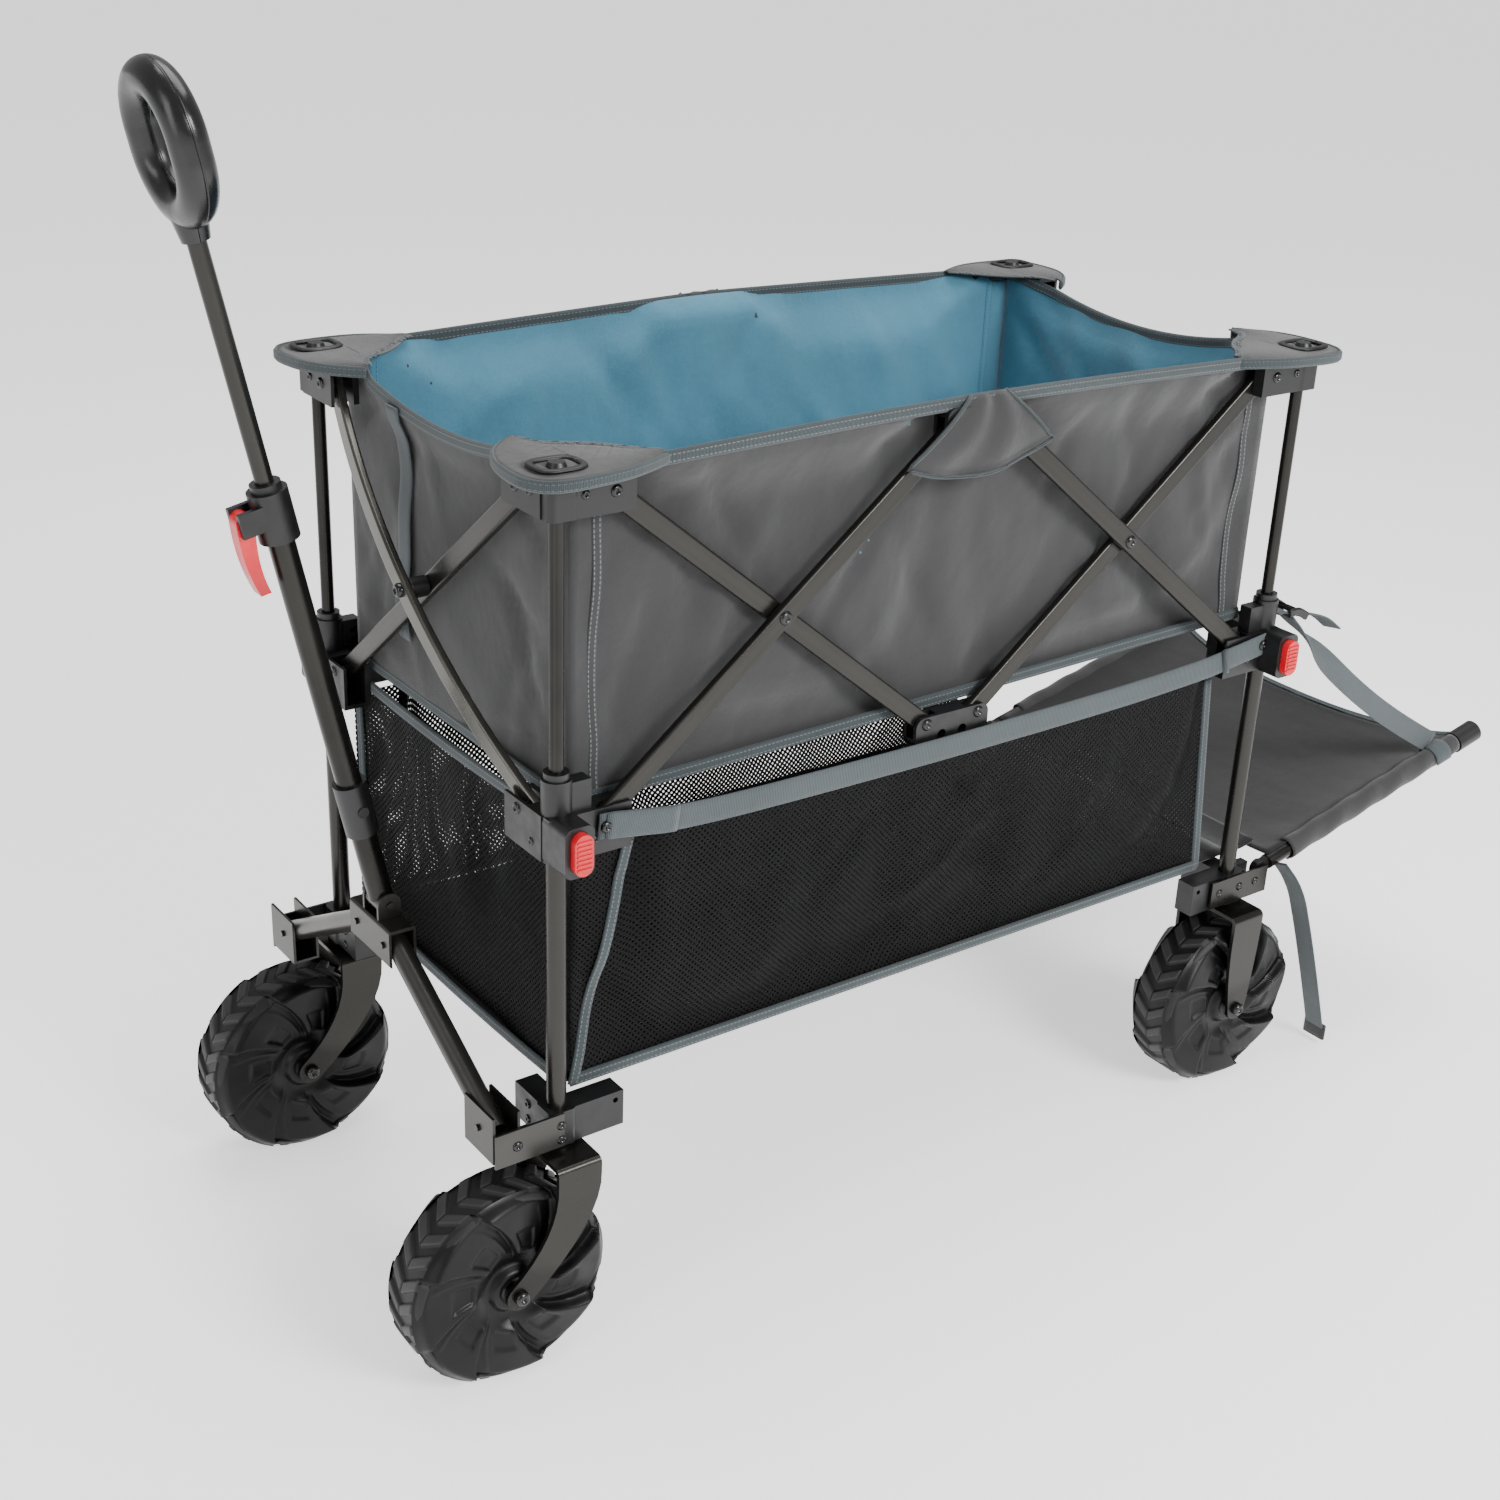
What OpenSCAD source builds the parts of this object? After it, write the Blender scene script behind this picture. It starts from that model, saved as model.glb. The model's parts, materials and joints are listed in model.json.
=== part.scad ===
// Double-decker folding cart: a scissor frame on four corner posts, an upper basket, a mesh
// lower deck with a tailgate, a telescopic pull handle and four wide wheels.
// Millimetres. +Z is up, -X is the handle end, +X the tailgate end, -Y the left side.
// The origin is on the ground under the middle of the overall box.

/* [Frame] */
// Spacing of the corner posts along the cart
post_span_x = 816; // [790:1:840]
// Spacing of the corner posts across the cart
post_span_y = 408; // [396:1:420]
// Top face of the upper corner brackets
bracket_top = 795; // [780:1:810]
// Height of the lower scissor pivots
low_pivot_z = 508; // [500:1:516]
// Outer diameter of the lower post tubes
post_d = 17; // [16:0.5:18]
// Outer diameter of the sliding upper tubes
slim_d = 12; // [11:0.5:12.5]

/* [Scissor bars] */
// Depth of a bar, in the plane it swings in
bar_h = 18; // [16:1:20]
// Thickness of a bar
bar_t = 8; // [7:0.5:9]
// Distance from a post to the scissor pivots beside it, along the cart
wing_pivot_x = 45; // [42:1:48]
// Distance from the middle of a side to the pivots of its centre brackets
centre_pivot_x = 30; // [28:1:34]
// How far the end bars bow out in the middle
bow = 24; // [18:1:28]

/* [Wheels] */
// Diameter of the wheels
wheel_d = 188; // [180:1:192]
// Width of the wheels
wheel_w = 66; // [60:1:68]
// Trail of the front casters
trail = 58; // [50:1:60]

/* [Handle] */
// Lean of the handle from upright, towards the front
handle_lean = 12.4; // [8:0.1:14]
// Distance along the handle from its hinge to the middle of the grip
grip_at = 665; // [645:1:675]
// Diameter of the lower handle tube
handle_d = 22; // [20:1:24]

/* [Tailgate] */
// Length of the tailgate arms
arm_len = 350; // [330:1:360]
// Rise of the lowered tailgate
gate_rise = 13.5; // [8:0.5:15]

/* [Hidden] */
$fn = 48;
ENDS = ["front", "rear"];
SIDES = ["left", "right"];
CORNERS = [for (e = ENDS, s = SIDES) str(e, "_", s)];

// Colours
BLACK = [0.07, 0.07, 0.075];
STEEL = [0.36, 0.355, 0.34];
BRIGHT = [0.55, 0.55, 0.54];
RED = [0.86, 0.1, 0.16];
GREY_CLOTH = [0.38, 0.38, 0.39];
DARK_CLOTH = [0.12, 0.12, 0.13];

// Clearances
run = 0.1;      // radial, round a hinge pin
gap = 1;        // between parts that pass each other
pin_d = 6;
tube_wall = 1.5;

// Scissor geometry: every bar has the same length and angle at rest
wall_t = 4;                               // walls of the bracket wings
wing_t = 24;                              // thickness of a wing
side_unit = post_span_x / 2 - wing_pivot_x - centre_pivot_x;
wing_pivot_y = (post_span_y - side_unit) / 2;
high_pivot_z = bracket_top - 19;
rise = high_pivot_z - low_pivot_z;
bar_len = norm([side_unit, rise]);
bar_angle = atan2(rise, side_unit);
bar_y = (bar_t + gap * 1.5) / 2;          // bars of a side run this far out or in of the posts
slot_x = bar_t + 1.5;                     // slots of the wings along the cart
slot_y = 18;                              // slots of the wings across the cart, for bowed bars
slot_out = 2.2;                           // how far these sit towards the bow
wing_x = wing_pivot_x + 18;
wing_y = wing_pivot_y + 20;
bow_r = (pow(bar_len / 2, 2) + bow * bow) / (2 * bow);
bow_half = asin(bar_len / 2 / bow_r);
bar_end = bar_h / 2;                      // a bar runs this far past its pivots
bow_sweep = bow_half + bar_end / bow_r * 180 / PI;
slot_end = 13.3;                          // room behind a pivot for the corners of a bar

// Heights of the corner parts
top_h = 36;
block_z = 476;
block_h = 40;
collar_z = 552;
low_bracket_z = 209;
low_bracket_h = 34;
post_z = 214;
post_top = 546;
slim_z = 330;
knob_h = 7;
house_d = 26;                             // square housing round each post
plate_t = 2.5;                            // steel plates on the sides of the low brackets
plate_y = house_d / 2 + plate_t;
out_face = wing_t / 2;
button_out = 44;                          // outer face of the latch buttons from the post axis
button_r = 8.5;
button_straight = 19;

// Wheels and forks
wheel_r = wheel_d / 2;
fork_t = 4;
fork_in = wheel_w / 2 + 3;
fork_out = fork_in + fork_t;
fork_top = 206;
fork_w = 42;
stem_d = post_d - 2 * tube_wall - 2 * run;
axle_d = 8;

// Front crossbar and handle hinge
cross_x = 55;                             // ahead of the front posts
cross_pin_y = 12;                         // in from the post axis
cross_pin_z = 238;
base_pin_y = wing_pivot_y - cross_pin_y;
cross_angle = 29;
cross_len = side_unit / 2 / cos(cross_angle);
base_pin_z = cross_pin_z + cross_len * sin(cross_angle);
cross_d = 20;
base_top = base_pin_z + 18;
base_half = 38;
base_in = cross_d / 2 + gap / 2;
base_t = 2.5;
hinge_z = base_top + 12.5;
ear_in = 12;

// Handle stations, measured along it from the hinge
sleeve_at = [72, 122];
collar_at = [352, 394];
tube_end = 372;
lever_x = 26;                             // pivot of the cam lever, ahead of the tube
lever_z = collar_at[0] + 24;
inner_d = 15;
neck_at = 594;
grip_ring_r = 40;
grip_tube_r = 15;
grip_straight = 14;

// Tailgate
gate_x = 40;                              // hinge behind the rear posts
gate_z = 238;
arm_d = 16;
arm_y = 8;                                // arms run this far out of the posts
arm_cap_r = 12;

// Overall box along X, from the grip to the ends of the tailgate arms
hinge_x = -post_span_x / 2 - cross_x;
grip_top = grip_at + grip_straight / 2;
x_min = hinge_x - (grip_top + grip_ring_r) * sin(handle_lean) - grip_tube_r;
x_max = post_span_x / 2 + gate_x + arm_len * cos(gate_rise) + arm_cap_r * sin(gate_rise);
x_shift = -(x_min + x_max) / 2;

// Fabric
cloth = 3;
basket_x = post_span_x / 2 - 21;
basket_y = post_span_y / 2 - 16.5;
basket_z = 514;
rim_z = bracket_top + 1;
deck_x = post_span_x / 2 - 14;
deck_y = post_span_y / 2 - 14;
deck_z = 248;
deck_top = 474;

// Closure strap: hangs from the outer face of the left tailgate arm, near its hinge
strap_d = 5;
strap_out = 24;                           // from the arm's axis
strap_drop = 226;
STRAP_ROUTE = [for (t = [0 : 0.0625 : 1])
    [22 + 90 * pow(t, 0.85), 13.4 * pow(max(0, 1 - 5 * t), 2), 4 - strap_drop * t]];

// --- Places ---------------------------------------------------------------------------

module flip(x, y) {
    if (x && y) mirror([1, 0, 0]) mirror([0, 1, 0]) children();
    else if (x) mirror([1, 0, 0]) children();
    else if (y) mirror([0, 1, 0]) children();
    else children();
}

// The whole cart, drawn about the middle of its posts, moved to its origin
module cart() translate([x_shift, 0, 0]) children();

// One quarter of the cart: children are drawn for the front left one
module quarter(e, s) cart() flip(e == 1, s == 1) children();

// A corner: origin on the post axis, +X and +Y inwards
module corner(e, s)
    quarter(e, s) translate([-post_span_x / 2, -post_span_y / 2, 0]) children();

// --- Shapes ---------------------------------------------------------------------------

// Rectangle with rounded corners, centred
module slab(w, h, r) {
    square([w - 2 * r, h], center = true);
    square([w, h - 2 * r], center = true);
    for (x = [-1, 1], y = [-1, 1])
        translate([x * (w / 2 - r), y * (h / 2 - r)]) circle(r);
}

module tube(d, wall, h) difference() {
    cylinder(d = d, h = h);
    translate([0, 0, -1]) cylinder(d = d - 2 * wall, h = h + 2);
}

// Cylinder along +X or +Y, from its own origin
module rod_x(d, l) rotate([0, 90, 0]) cylinder(d = d, h = l);
module rod_y(d, l) rotate([-90, 0, 0]) cylinder(d = d, h = l);
// The same, centred
module pin_x(d, l) translate([-l / 2, 0, 0]) rod_x(d, l);
module pin_y(d, l) translate([0, -l / 2, 0]) rod_y(d, l);

// Points of a quadratic curve
function curve(a, b, c, n) =
    [for (i = [0:n]) let (t = i / n) (1 - t) * (1 - t) * a + 2 * t * (1 - t) * b + t * t * c];

// --- Corners --------------------------------------------------------------------------

module lower_post() color(STEEL)
    translate([0, 0, post_z]) tube(post_d, tube_wall, post_top - post_z);

// Wing of a bracket along +X, with a slot for one bar of a side
module wing_along(z, h, slot_in, open_top) difference() {
    translate([0, -wing_t / 2, z]) cube([wing_x, wing_t, h]);
    translate([wing_pivot_x - slot_end, slot_in - slot_x / 2, open_top ? z + wall_t : z - 1])
        cube([wing_x, slot_x, h - wall_t + 1]);
}

// Wing of a bracket along +Y, with a slot for a bar of an end
module wing_across(z, h, open_top) difference() {
    translate([-wing_t / 2 - slot_out, 0, z]) cube([wing_t + slot_out, wing_y, h]);
    translate([-slot_y / 2 - slot_out, wing_pivot_y - slot_end, open_top ? z + wall_t : z - 1])
        cube([slot_y, wing_y, h - wall_t + 1]);
}

module slider_block() color(BLACK) difference() {
    union() {
        wing_along(block_z, block_h, -bar_y, true);
        wing_across(block_z, block_h, true);
        translate([0, 0, block_z]) linear_extrude(block_h) slab(house_d, house_d, 4);
        // collar and ribbed column
        translate([0, 0, block_z]) cylinder(d = 25, h = post_top - block_z);
        translate([0, 0, post_top]) cylinder(d = 21, h = collar_z - post_top);
        translate([8, -7, block_z]) cube([20, 14, post_top - block_z - 4]);
        // latch housing
        translate([0, 0, block_z + block_h / 2]) rotate([90, 0, 0])
            linear_extrude(button_out - 8) slab(27, block_h + 4, 7);
        translate([wing_pivot_x, -bar_y, low_pivot_z]) pin_y(pin_d, slot_x);
        translate([-slot_out, wing_pivot_y, low_pivot_z]) pin_x(pin_d, slot_y);
    }
    translate([0, 0, block_z - 5]) cylinder(d = post_d, h = post_top - block_z + 5);
    translate([0, 0, post_top - 1]) cylinder(d = slim_d + 2 * run, h = 10);
    // pocket of the latch button
    translate([0, -button_out + 16, block_z + block_h / 2]) rotate([90, 0, 0])
        linear_extrude(20) button_outline(0.3);
    // window in the ribbed column
    for (z = [block_z + block_h + 4 : 9 : post_top - 12])
        translate([18, 0, z]) cube([8, 20, 5], center = false);
}

module button_outline(grow) {
    square([2 * (button_r + grow), button_straight], center = true);
    for (y = [-1, 1]) translate([0, y * button_straight / 2]) circle(button_r + grow);
}

module latch_button() color(RED)
    translate([0, -button_out + 10, block_z + block_h / 2]) rotate([90, 0, 0]) {
        linear_extrude(8.8) button_outline(0);
        for (z = [-12 : 4 : 12])
            translate([-6.5, z - 0.9, 8]) cube([13, 1.8, 2]);
    }

// Upper bracket with its knob, and the slim tube that slides in the lower post
module corner_upright() {
    color(BLACK) difference() {
        union() {
            wing_along(bracket_top - top_h, top_h, bar_y, false);
            wing_across(bracket_top - top_h, top_h, false);
            translate([0, 0, bracket_top - top_h]) linear_extrude(top_h)
                slab(house_d, house_d, 6);
            translate([0, 0, bracket_top - 1]) cylinder(d1 = 20, d2 = 13, h = knob_h + 1);
            translate([wing_pivot_x, bar_y, high_pivot_z]) pin_y(pin_d, slot_x);
            translate([-slot_out, wing_pivot_y, high_pivot_z]) pin_x(pin_d, slot_y);
        }
        translate([0, 0, bracket_top - top_h - 1]) cylinder(d = slim_d, h = top_h - 5);
    }
    color(STEEL) translate([0, 0, slim_z])
        tube(slim_d, tube_wall, bracket_top - 6 - slim_z);
}

module bottom_bracket(e) color(BLACK) difference() {
    union() {
        translate([0, 0, low_bracket_z]) linear_extrude(low_bracket_h)
            slab(house_d, house_d, 5);
        translate([0, -out_face + 1, low_bracket_z]) cube([60, wing_t - 2, low_bracket_h]);
        translate([-out_face + 1, 0, low_bracket_z]) cube([wing_t - 2, 50, low_bracket_h]);
        if (e == 1) translate([6 - gate_x, -out_face + 1, low_bracket_z + 4])
            cube([40, wing_t - 2, low_bracket_h - 4]);
    }
    translate([0, 0, post_z]) cylinder(d = post_d, h = low_bracket_h);
    translate([0, 0, low_bracket_z - 1]) cylinder(d = stem_d + 2 * run, h = 10);
    translate([52, 0, low_bracket_z + low_bracket_h - 8]) pin_y(5, wing_t + 2);
    // slot for the tailgate arm
    if (e == 1) translate([4 - gate_x, -arm_y - arm_d / 2 - gap, low_bracket_z - 1])
        cube([20, arm_d + 2 * gap, low_bracket_h + 2]);
}

// Fork outline seen from the side: from the top plate down round the axle
module fork_outline(hub_x) {
    half = fork_w / 2;
    hub = [hub_x, wheel_r];
    right = [half + 2, fork_top - 62];
    left = [-half + 2, fork_top - 64];
    from = atan2(right.y - hub.y, right.x - hub.x) - 90;
    to = atan2(left.y - hub.y, left.x - hub.x) - 270;
    function rim(i) = let (a = from + (to - from) * i / 12) hub + 13 * [cos(a), sin(a)];
    polygon(concat(
        [[half, fork_top]],
        curve([half, fork_top - 14], right, rim(0), 8),
        [for (i = [1 : 11]) rim(i)],
        curve(rim(12), left, [-half, fork_top - 14], 8),
        [[-half, fork_top]]));
}

// Stamped channel of the fork seen along the cart, open downwards
module fork_channel() {
    depth = fork_top - wheel_r + 20;
    difference() {
        translate([0, fork_top - depth / 2]) slab(2 * fork_out, depth, 6);
        translate([0, fork_top - fork_t - depth / 2]) slab(2 * fork_in, depth, 3);
    }
}

module fork(e) {
    hub_x = e == 0 ? -trail : 0;
    color(STEEL) {
        intersection() {
            rotate([90, 0, 0]) linear_extrude(2 * fork_out + 2, center = true)
                fork_outline(hub_x);
            rotate([90, 0, 90]) linear_extrude(300, center = true) fork_channel();
        }
        // swivel stem, axle and its bolt heads
        translate([0, 0, fork_top - 1]) cylinder(d = stem_d, h = 44);
        if (e == 0) translate([0, 0, fork_top - 1]) cylinder(d = 30, h = 3);
        translate([hub_x, 0, wheel_r]) {
            pin_y(axle_d, 2 * fork_out);
            for (s = [-1, 1]) translate([0, s * (fork_out + 1.5), 0]) pin_y(13, 3.4);
        }
    }
    // side plate of a rear corner, with the hinge pin of the tailgate arm
    if (e == 1) color(STEEL) {
        translate([-gate_x - 8, -plate_y, low_bracket_z + 3]) cube([84, plate_t, 30]);
        translate([-gate_x, -plate_y, gate_z]) rod_y(pin_d, plate_y - 2);
    }
}

module wheel(e) {
    hub_x = e == 0 ? -trail : 0;
    half = wheel_w / 2;
    color(BLACK) translate([hub_x, 0, wheel_r]) rotate([90, 0, 0]) difference() {
        rotate_extrude($fn = 96) polygon([
            [axle_d / 2 + run, -half - 2], [22, -half - 2], [27, -half + 5], [72, -half + 3],
            [80, -half], [89, -half + 8], [wheel_r, -half + 22], [wheel_r, half - 22],
            [89, half - 8], [80, half], [72, half - 3], [27, half - 5], [22, half + 2],
            [axle_d / 2 + run, half + 2]]);
        for (a = [0 : 45 : 315], s = [-1, 1])
            rotate([0, 0, a]) translate([52, 0, s * half]) cylinder(d = 20, h = 14, center = true);
    }
}

// --- Scissor bars ---------------------------------------------------------------------

module bar_section() difference() {
    slab(bar_h, bar_t, 2.5);
    slab(bar_h - 2 * tube_wall, bar_t - 2 * tube_wall, 1);
}

// Straight bar along +X from pivot to pivot, swinging in the XZ plane
module straight_bar() color(STEEL) difference() {
    translate([-bar_end, 0, 0]) rotate([90, 90, 90])
        linear_extrude(bar_len + 2 * bar_end) bar_section();
    for (x = [0, bar_len / 2, bar_len]) translate([x, 0, 0])
        pin_y(pin_d + 2 * run, bar_t + 4);
}

// Bar of a side: the outer one climbs from the slider block, the inner one drops from the top
module side_bar(outer) {
    y = -post_span_y / 2 + (outer ? -bar_y : bar_y);
    x = -post_span_x / 2 + wing_pivot_x;
    translate([x, y, outer ? low_pivot_z : high_pivot_z])
        rotate([0, outer ? -bar_angle : bar_angle, 0]) {
            straight_bar();
            if (outer) color(STEEL) translate([bar_len / 2, bar_y, 0])
                pin_y(pin_d, bar_t * 2 + 4);
        }
}

// Bowed bar in the XZ plane, its chord along +Y, bulging towards -X
module bowed_bar() color(STEEL) difference() {
    translate([bow_r - bow, bar_len / 2, 0]) rotate([0, 0, 180 - bow_sweep])
        rotate_extrude(angle = 2 * bow_sweep, $fn = 96) translate([bow_r, 0])
            rotate([0, 0, 90]) bar_section();
    for (y = [0, bar_len]) translate([0, y, 0]) pin_x(pin_d + 2 * run, bar_t * 3);
}

module end_bar(k) {
    x = -post_span_x / 2;
    y = -post_span_y / 2 + wing_pivot_y;
    if (k == 1) translate([x, y, low_pivot_z]) rotate([bar_angle, 0, 0]) {
        bowed_bar();
        // rivet and spacer where the two bars cross
        color(BLACK) translate([-bow + bar_t / 2 - 0.5, bar_len / 2, 0])
            rod_x(18, bow - bar_t - 0.2);
        color(STEEL) translate([-bow - bar_t / 2 - 2, bar_len / 2, 0]) rod_x(pin_d, bow + bar_t + 4);
    }
    else translate([x, y, high_pivot_z]) rotate([-bar_angle, 0, 0]) rotate([0, 0, 90])
        straight_bar();
}

// Bracket in the middle of a side; the upper one holds the outer bars, the lower the inner ones
module centre_bracket(upper) color(BLACK) {
    z = upper ? high_pivot_z : low_pivot_z;
    y = -post_span_y / 2 + (upper ? -bar_y : bar_y);
    translate([0, y, z]) {
        difference() {
            rotate([90, 0, 0]) linear_extrude(slot_x + 8, center = true) difference() {
                translate([0, upper ? 6 : -8]) slab(2 * centre_pivot_x + 24, 30, 9);
                for (x = [-12, 12]) translate([x, upper ? 10 : -13]) circle(5);
            }
            // a slot for each bar end, open outwards
            for (s = [-1, 1])
                translate([s * (centre_pivot_x - slot_end + 20), 0, upper ? slot_end - 25 : 25 - slot_end])
                    cube([40, slot_x, 50], center = true);
        }
        for (s = [-1, 1]) translate([s * centre_pivot_x, 0, 0]) pin_y(pin_d, slot_x + 8);
    }
}

// --- Steering and handle --------------------------------------------------------------

// Steel clevis on a front corner, holding the end of the crossbar
module steering_clevis(s) color(BRIGHT) {
    width = 2 * base_in + 2 * base_t + 4;
    // side plate on the bottom bracket
    translate([-cross_x - 12, -plate_y, low_bracket_z + 2]) cube([66, plate_t, 32]);
    for (x = [-cross_x - base_in - base_t, -cross_x + base_in])
        translate([x, -plate_y + plate_t, low_bracket_z + 6]) cube([base_t, 48, 44]);
    translate([-cross_x - base_in, -plate_y + plate_t, low_bracket_z + 6])
        cube([2 * base_in, 48, base_t]);
    translate([-cross_x, cross_pin_y, cross_pin_z]) difference() {
        pin_x(pin_d, width);
        // the right clevis has only the ends of its pin: the linkage is open there
        if (s == 1) pin_x(pin_d + 1, 2 * base_in);
    }
}

// Half of the front crossbar, rising from a corner clevis to the handle base
module crossbar(s) color(BRIGHT)
    translate([-post_span_x / 2 - cross_x, -post_span_y / 2 + cross_pin_y, cross_pin_z])
        rotate([cross_angle, 0, 0]) difference() {
            translate([0, -8, 0]) rotate([-90, 0, 0]) tube(cross_d, tube_wall, cross_len + 16);
            if (s == 0) pin_x(pin_d + 2 * run, cross_d + 4);
            translate([0, cross_len, 0]) pin_x(pin_d + 2 * run, cross_d + 4);
        }

module handle_base() color(BRIGHT) cart() translate([hinge_x, 0, 0]) {
    translate([0, 0, base_top - 18]) rotate([90, 0, 0])
        linear_extrude(2 * base_half, center = true) difference() {
            slab(2 * (base_in + base_t), 36, 3);
            translate([0, -base_t - 2]) square([2 * base_in, 38], center = true);
        }
    for (s = [-1, 1]) {
        translate([0, s * base_pin_y, base_pin_z]) pin_x(pin_d, 2 * base_in + 2 * base_t + 4);
        // ears of the handle hinge
        translate([0, s * (ear_in + 1.5), base_top - 1]) rotate([90, 0, 0])
            linear_extrude(3, center = true) {
                translate([-11, 0]) square([22, 13.5]);
                translate([0, 13.5]) circle(11);
            }
    }
    translate([0, 0, hinge_z]) pin_y(pin_d, 2 * ear_in + 10);
}

// Along the handle: origin at the hinge, +Z up the tube
module along_handle() cart() translate([hinge_x, 0, hinge_z])
    rotate([0, -handle_lean, 0]) children();

module handle_tube() along_handle() {
    color(STEEL) difference() {
        union() {
            translate([0, 0, 4]) tube(handle_d, tube_wall, tube_end - 4);
            pin_y(20, 2 * ear_in - 0.6);
            cylinder(d = handle_d - 2 * tube_wall, h = 16);
        }
        pin_y(pin_d + 2 * run, 40);
    }
    // lower sleeve with its snap button
    color(BLACK) translate([0, 0, sleeve_at[0]]) {
        tube(handle_d + 7, 3.5, sleeve_at[1] - sleeve_at[0]);
        translate([0, -handle_d / 2 - 3, 25]) pin_y(10, 3);
    }
}

module handle_collar() along_handle() color(BLACK) difference() {
    union() {
        translate([0, 0, collar_at[0]]) cylinder(d = 33, h = collar_at[1] - collar_at[0]);
        translate([0, 0, collar_at[1] - 2]) cylinder(d = 25, h = 8);
        // ears of the cam lever
        for (s = [-1, 1])
            translate([-lever_x - 6, s * 10 - 2.5, collar_at[0] + 14]) cube([lever_x - 2, 5, 20]);
        translate([-lever_x, 0, lever_z]) pin_y(5, 24);
    }
    translate([0, 0, collar_at[0] - 1]) cylinder(d = handle_d, h = tube_end - collar_at[0] + 1);
    translate([0, 0, collar_at[0] - 1]) cylinder(d = inner_d + 2 * run, h = 100);
}

module inner_tube() along_handle() color(STEEL)
    translate([0, 0, collar_at[0] - 170]) tube(inner_d, tube_wall, neck_at + 190 - collar_at[0]);

module cam_lever() along_handle() color(RED)
    translate([-lever_x, 0, lever_z]) rotate([90, 0, 0]) difference() {
        linear_extrude(14.4, center = true) {
            circle(8);
            polygon(concat(
                curve([-8, 0], [-12, -34], [-4, -62], 8),
                curve([5, -62], [-1, -36], [7.6, -2], 8)));
        }
        cylinder(d = 5 + 2 * run, h = 20, center = true);
    }

module grip() along_handle() color(BLACK) difference() {
    half = grip_straight / 2;
    union() {
        for (s = [-1, 1]) {
            translate([0, 0, grip_at + s * half]) rotate([0, 90, 0])
                rotate([0, 0, s > 0 ? 90 : -90]) rotate_extrude(angle = 180)
                    translate([grip_ring_r, 0]) circle(grip_tube_r);
            translate([0, s * grip_ring_r, grip_at - half])
                cylinder(r = grip_tube_r, h = grip_straight);
        }
        // neck over the inner tube
        translate([0, 0, neck_at])
            cylinder(d1 = 22, d2 = 30, h = grip_at - half - grip_ring_r - neck_at);
    }
    translate([0, 0, neck_at - 1]) cylinder(d = inner_d, h = 21);
}

// --- Tailgate -------------------------------------------------------------------------

// Along a tailgate arm: origin at its hinge, +X out along the arm
module along_arm(s) cart() flip(false, s == 1)
    translate([post_span_x / 2 + gate_x, -post_span_y / 2 - arm_y, gate_z])
        rotate([0, -gate_rise, 0]) children();

module tailgate_arm(s) {
    along_arm(s) {
        color(STEEL) difference() {
            union() {
                translate([14, 0, 0]) rod_x(arm_d, arm_len - 30);
                pin_y(18, 7);
                translate([0, -3.5, -7]) cube([30, 7, 14]);
            }
            pin_y(pin_d + 2 * run, 20);
        }
        color(BLACK) translate([arm_len - 34, 0, 0]) rod_x(2 * arm_cap_r, 34);
    }
}

module tailgate_panel() along_arm(0) color(GREY_CLOTH)
    translate([14, arm_y + 6, 3]) cube([arm_len - 18, post_span_y - 12, 3]);

// --- Fabric ---------------------------------------------------------------------------

// Upper basket: four walls and a floor, open at the top
module basket() cart() color(GREY_CLOTH) {
    difference() {
        translate([-basket_x, -basket_y, basket_z])
            cube([2 * basket_x, 2 * basket_y, rim_z - basket_z]);
        translate([-basket_x + cloth, -basket_y + cloth, basket_z + cloth])
            cube([2 * (basket_x - cloth), 2 * (basket_y - cloth), 400]);
    }
}

// Lower deck: floor, two long mesh walls and one at the front, open to the tailgate
module lower_deck() cart() color(DARK_CLOTH) difference() {
    translate([-deck_x, -deck_y, deck_z]) cube([2 * deck_x + 34, 2 * deck_y, deck_top - deck_z]);
    translate([-deck_x + cloth, -deck_y + cloth, deck_z + cloth])
        cube([2 * deck_x + 100, 2 * (deck_y - cloth), 400]);
}

// One tube swept along points, with n sides
module swept(points, d, n) {
    last = len(points) - 1;
    function along(i) = let (v = points[min(i + 1, last)] - points[max(i - 1, 0)]) v / norm(v);
    function ring(i) = let (t = along(i), u = [0, 1, 0], w = cross(t, u))
        [for (k = [0 : n - 1]) points[i] + d / 2 * (cos(k * 360 / n) * u + sin(k * 360 / n) * w)];
    polyhedron(
        points = [for (i = [0 : last]) each ring(i)],
        faces = concat(
            [[for (k = [0 : n - 1]) k]],
            [for (i = [0 : last - 1], k = [0 : n - 1]) let (m = (k + 1) % n)
                [i * n + k, (i + 1) * n + k, (i + 1) * n + m, i * n + m]],
            [[for (k = [n - 1 : -1 : 0]) last * n + k]]));
}

module closure_strap() corner(1, 0) mirror([1, 0, 0])
    translate([gate_x, -strap_out - arm_y, gate_z])
        color(DARK_CLOTH) swept(STRAP_ROUTE, strap_d, 8);

// --- Assembly -------------------------------------------------------------------------

function corner_name(e, s) = str(ENDS[e], "_", SIDES[s]);

for (e = [0, 1], s = [0, 1]) {
    corner(e, s) lower_post();
    corner(e, s) slider_block();
    corner(e, s) latch_button();
    corner(e, s) corner_upright();
    corner(e, s) bottom_bracket(e);
    corner(e, s) fork(e);
    corner(e, s) wheel(e);
}
for (e = [0, 1], k = [1, 2])
    quarter(e, 0) end_bar(k);
for (s = [0, 1]) {
    for (k = [1 : 4])
        quarter(k > 2 ? 1 : 0, s) side_bar(k % 2 == 1);
    quarter(0, s) centre_bracket(true);
    quarter(0, s) centre_bracket(false);
    corner(0, s) steering_clevis(s);
    quarter(0, s) crossbar(s);
    tailgate_arm(s);
}
handle_base();
handle_tube();
handle_collar();
inner_tube();
grip();
cam_lever();
basket();
lower_deck();
tailgate_panel();
closure_strap();
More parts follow.
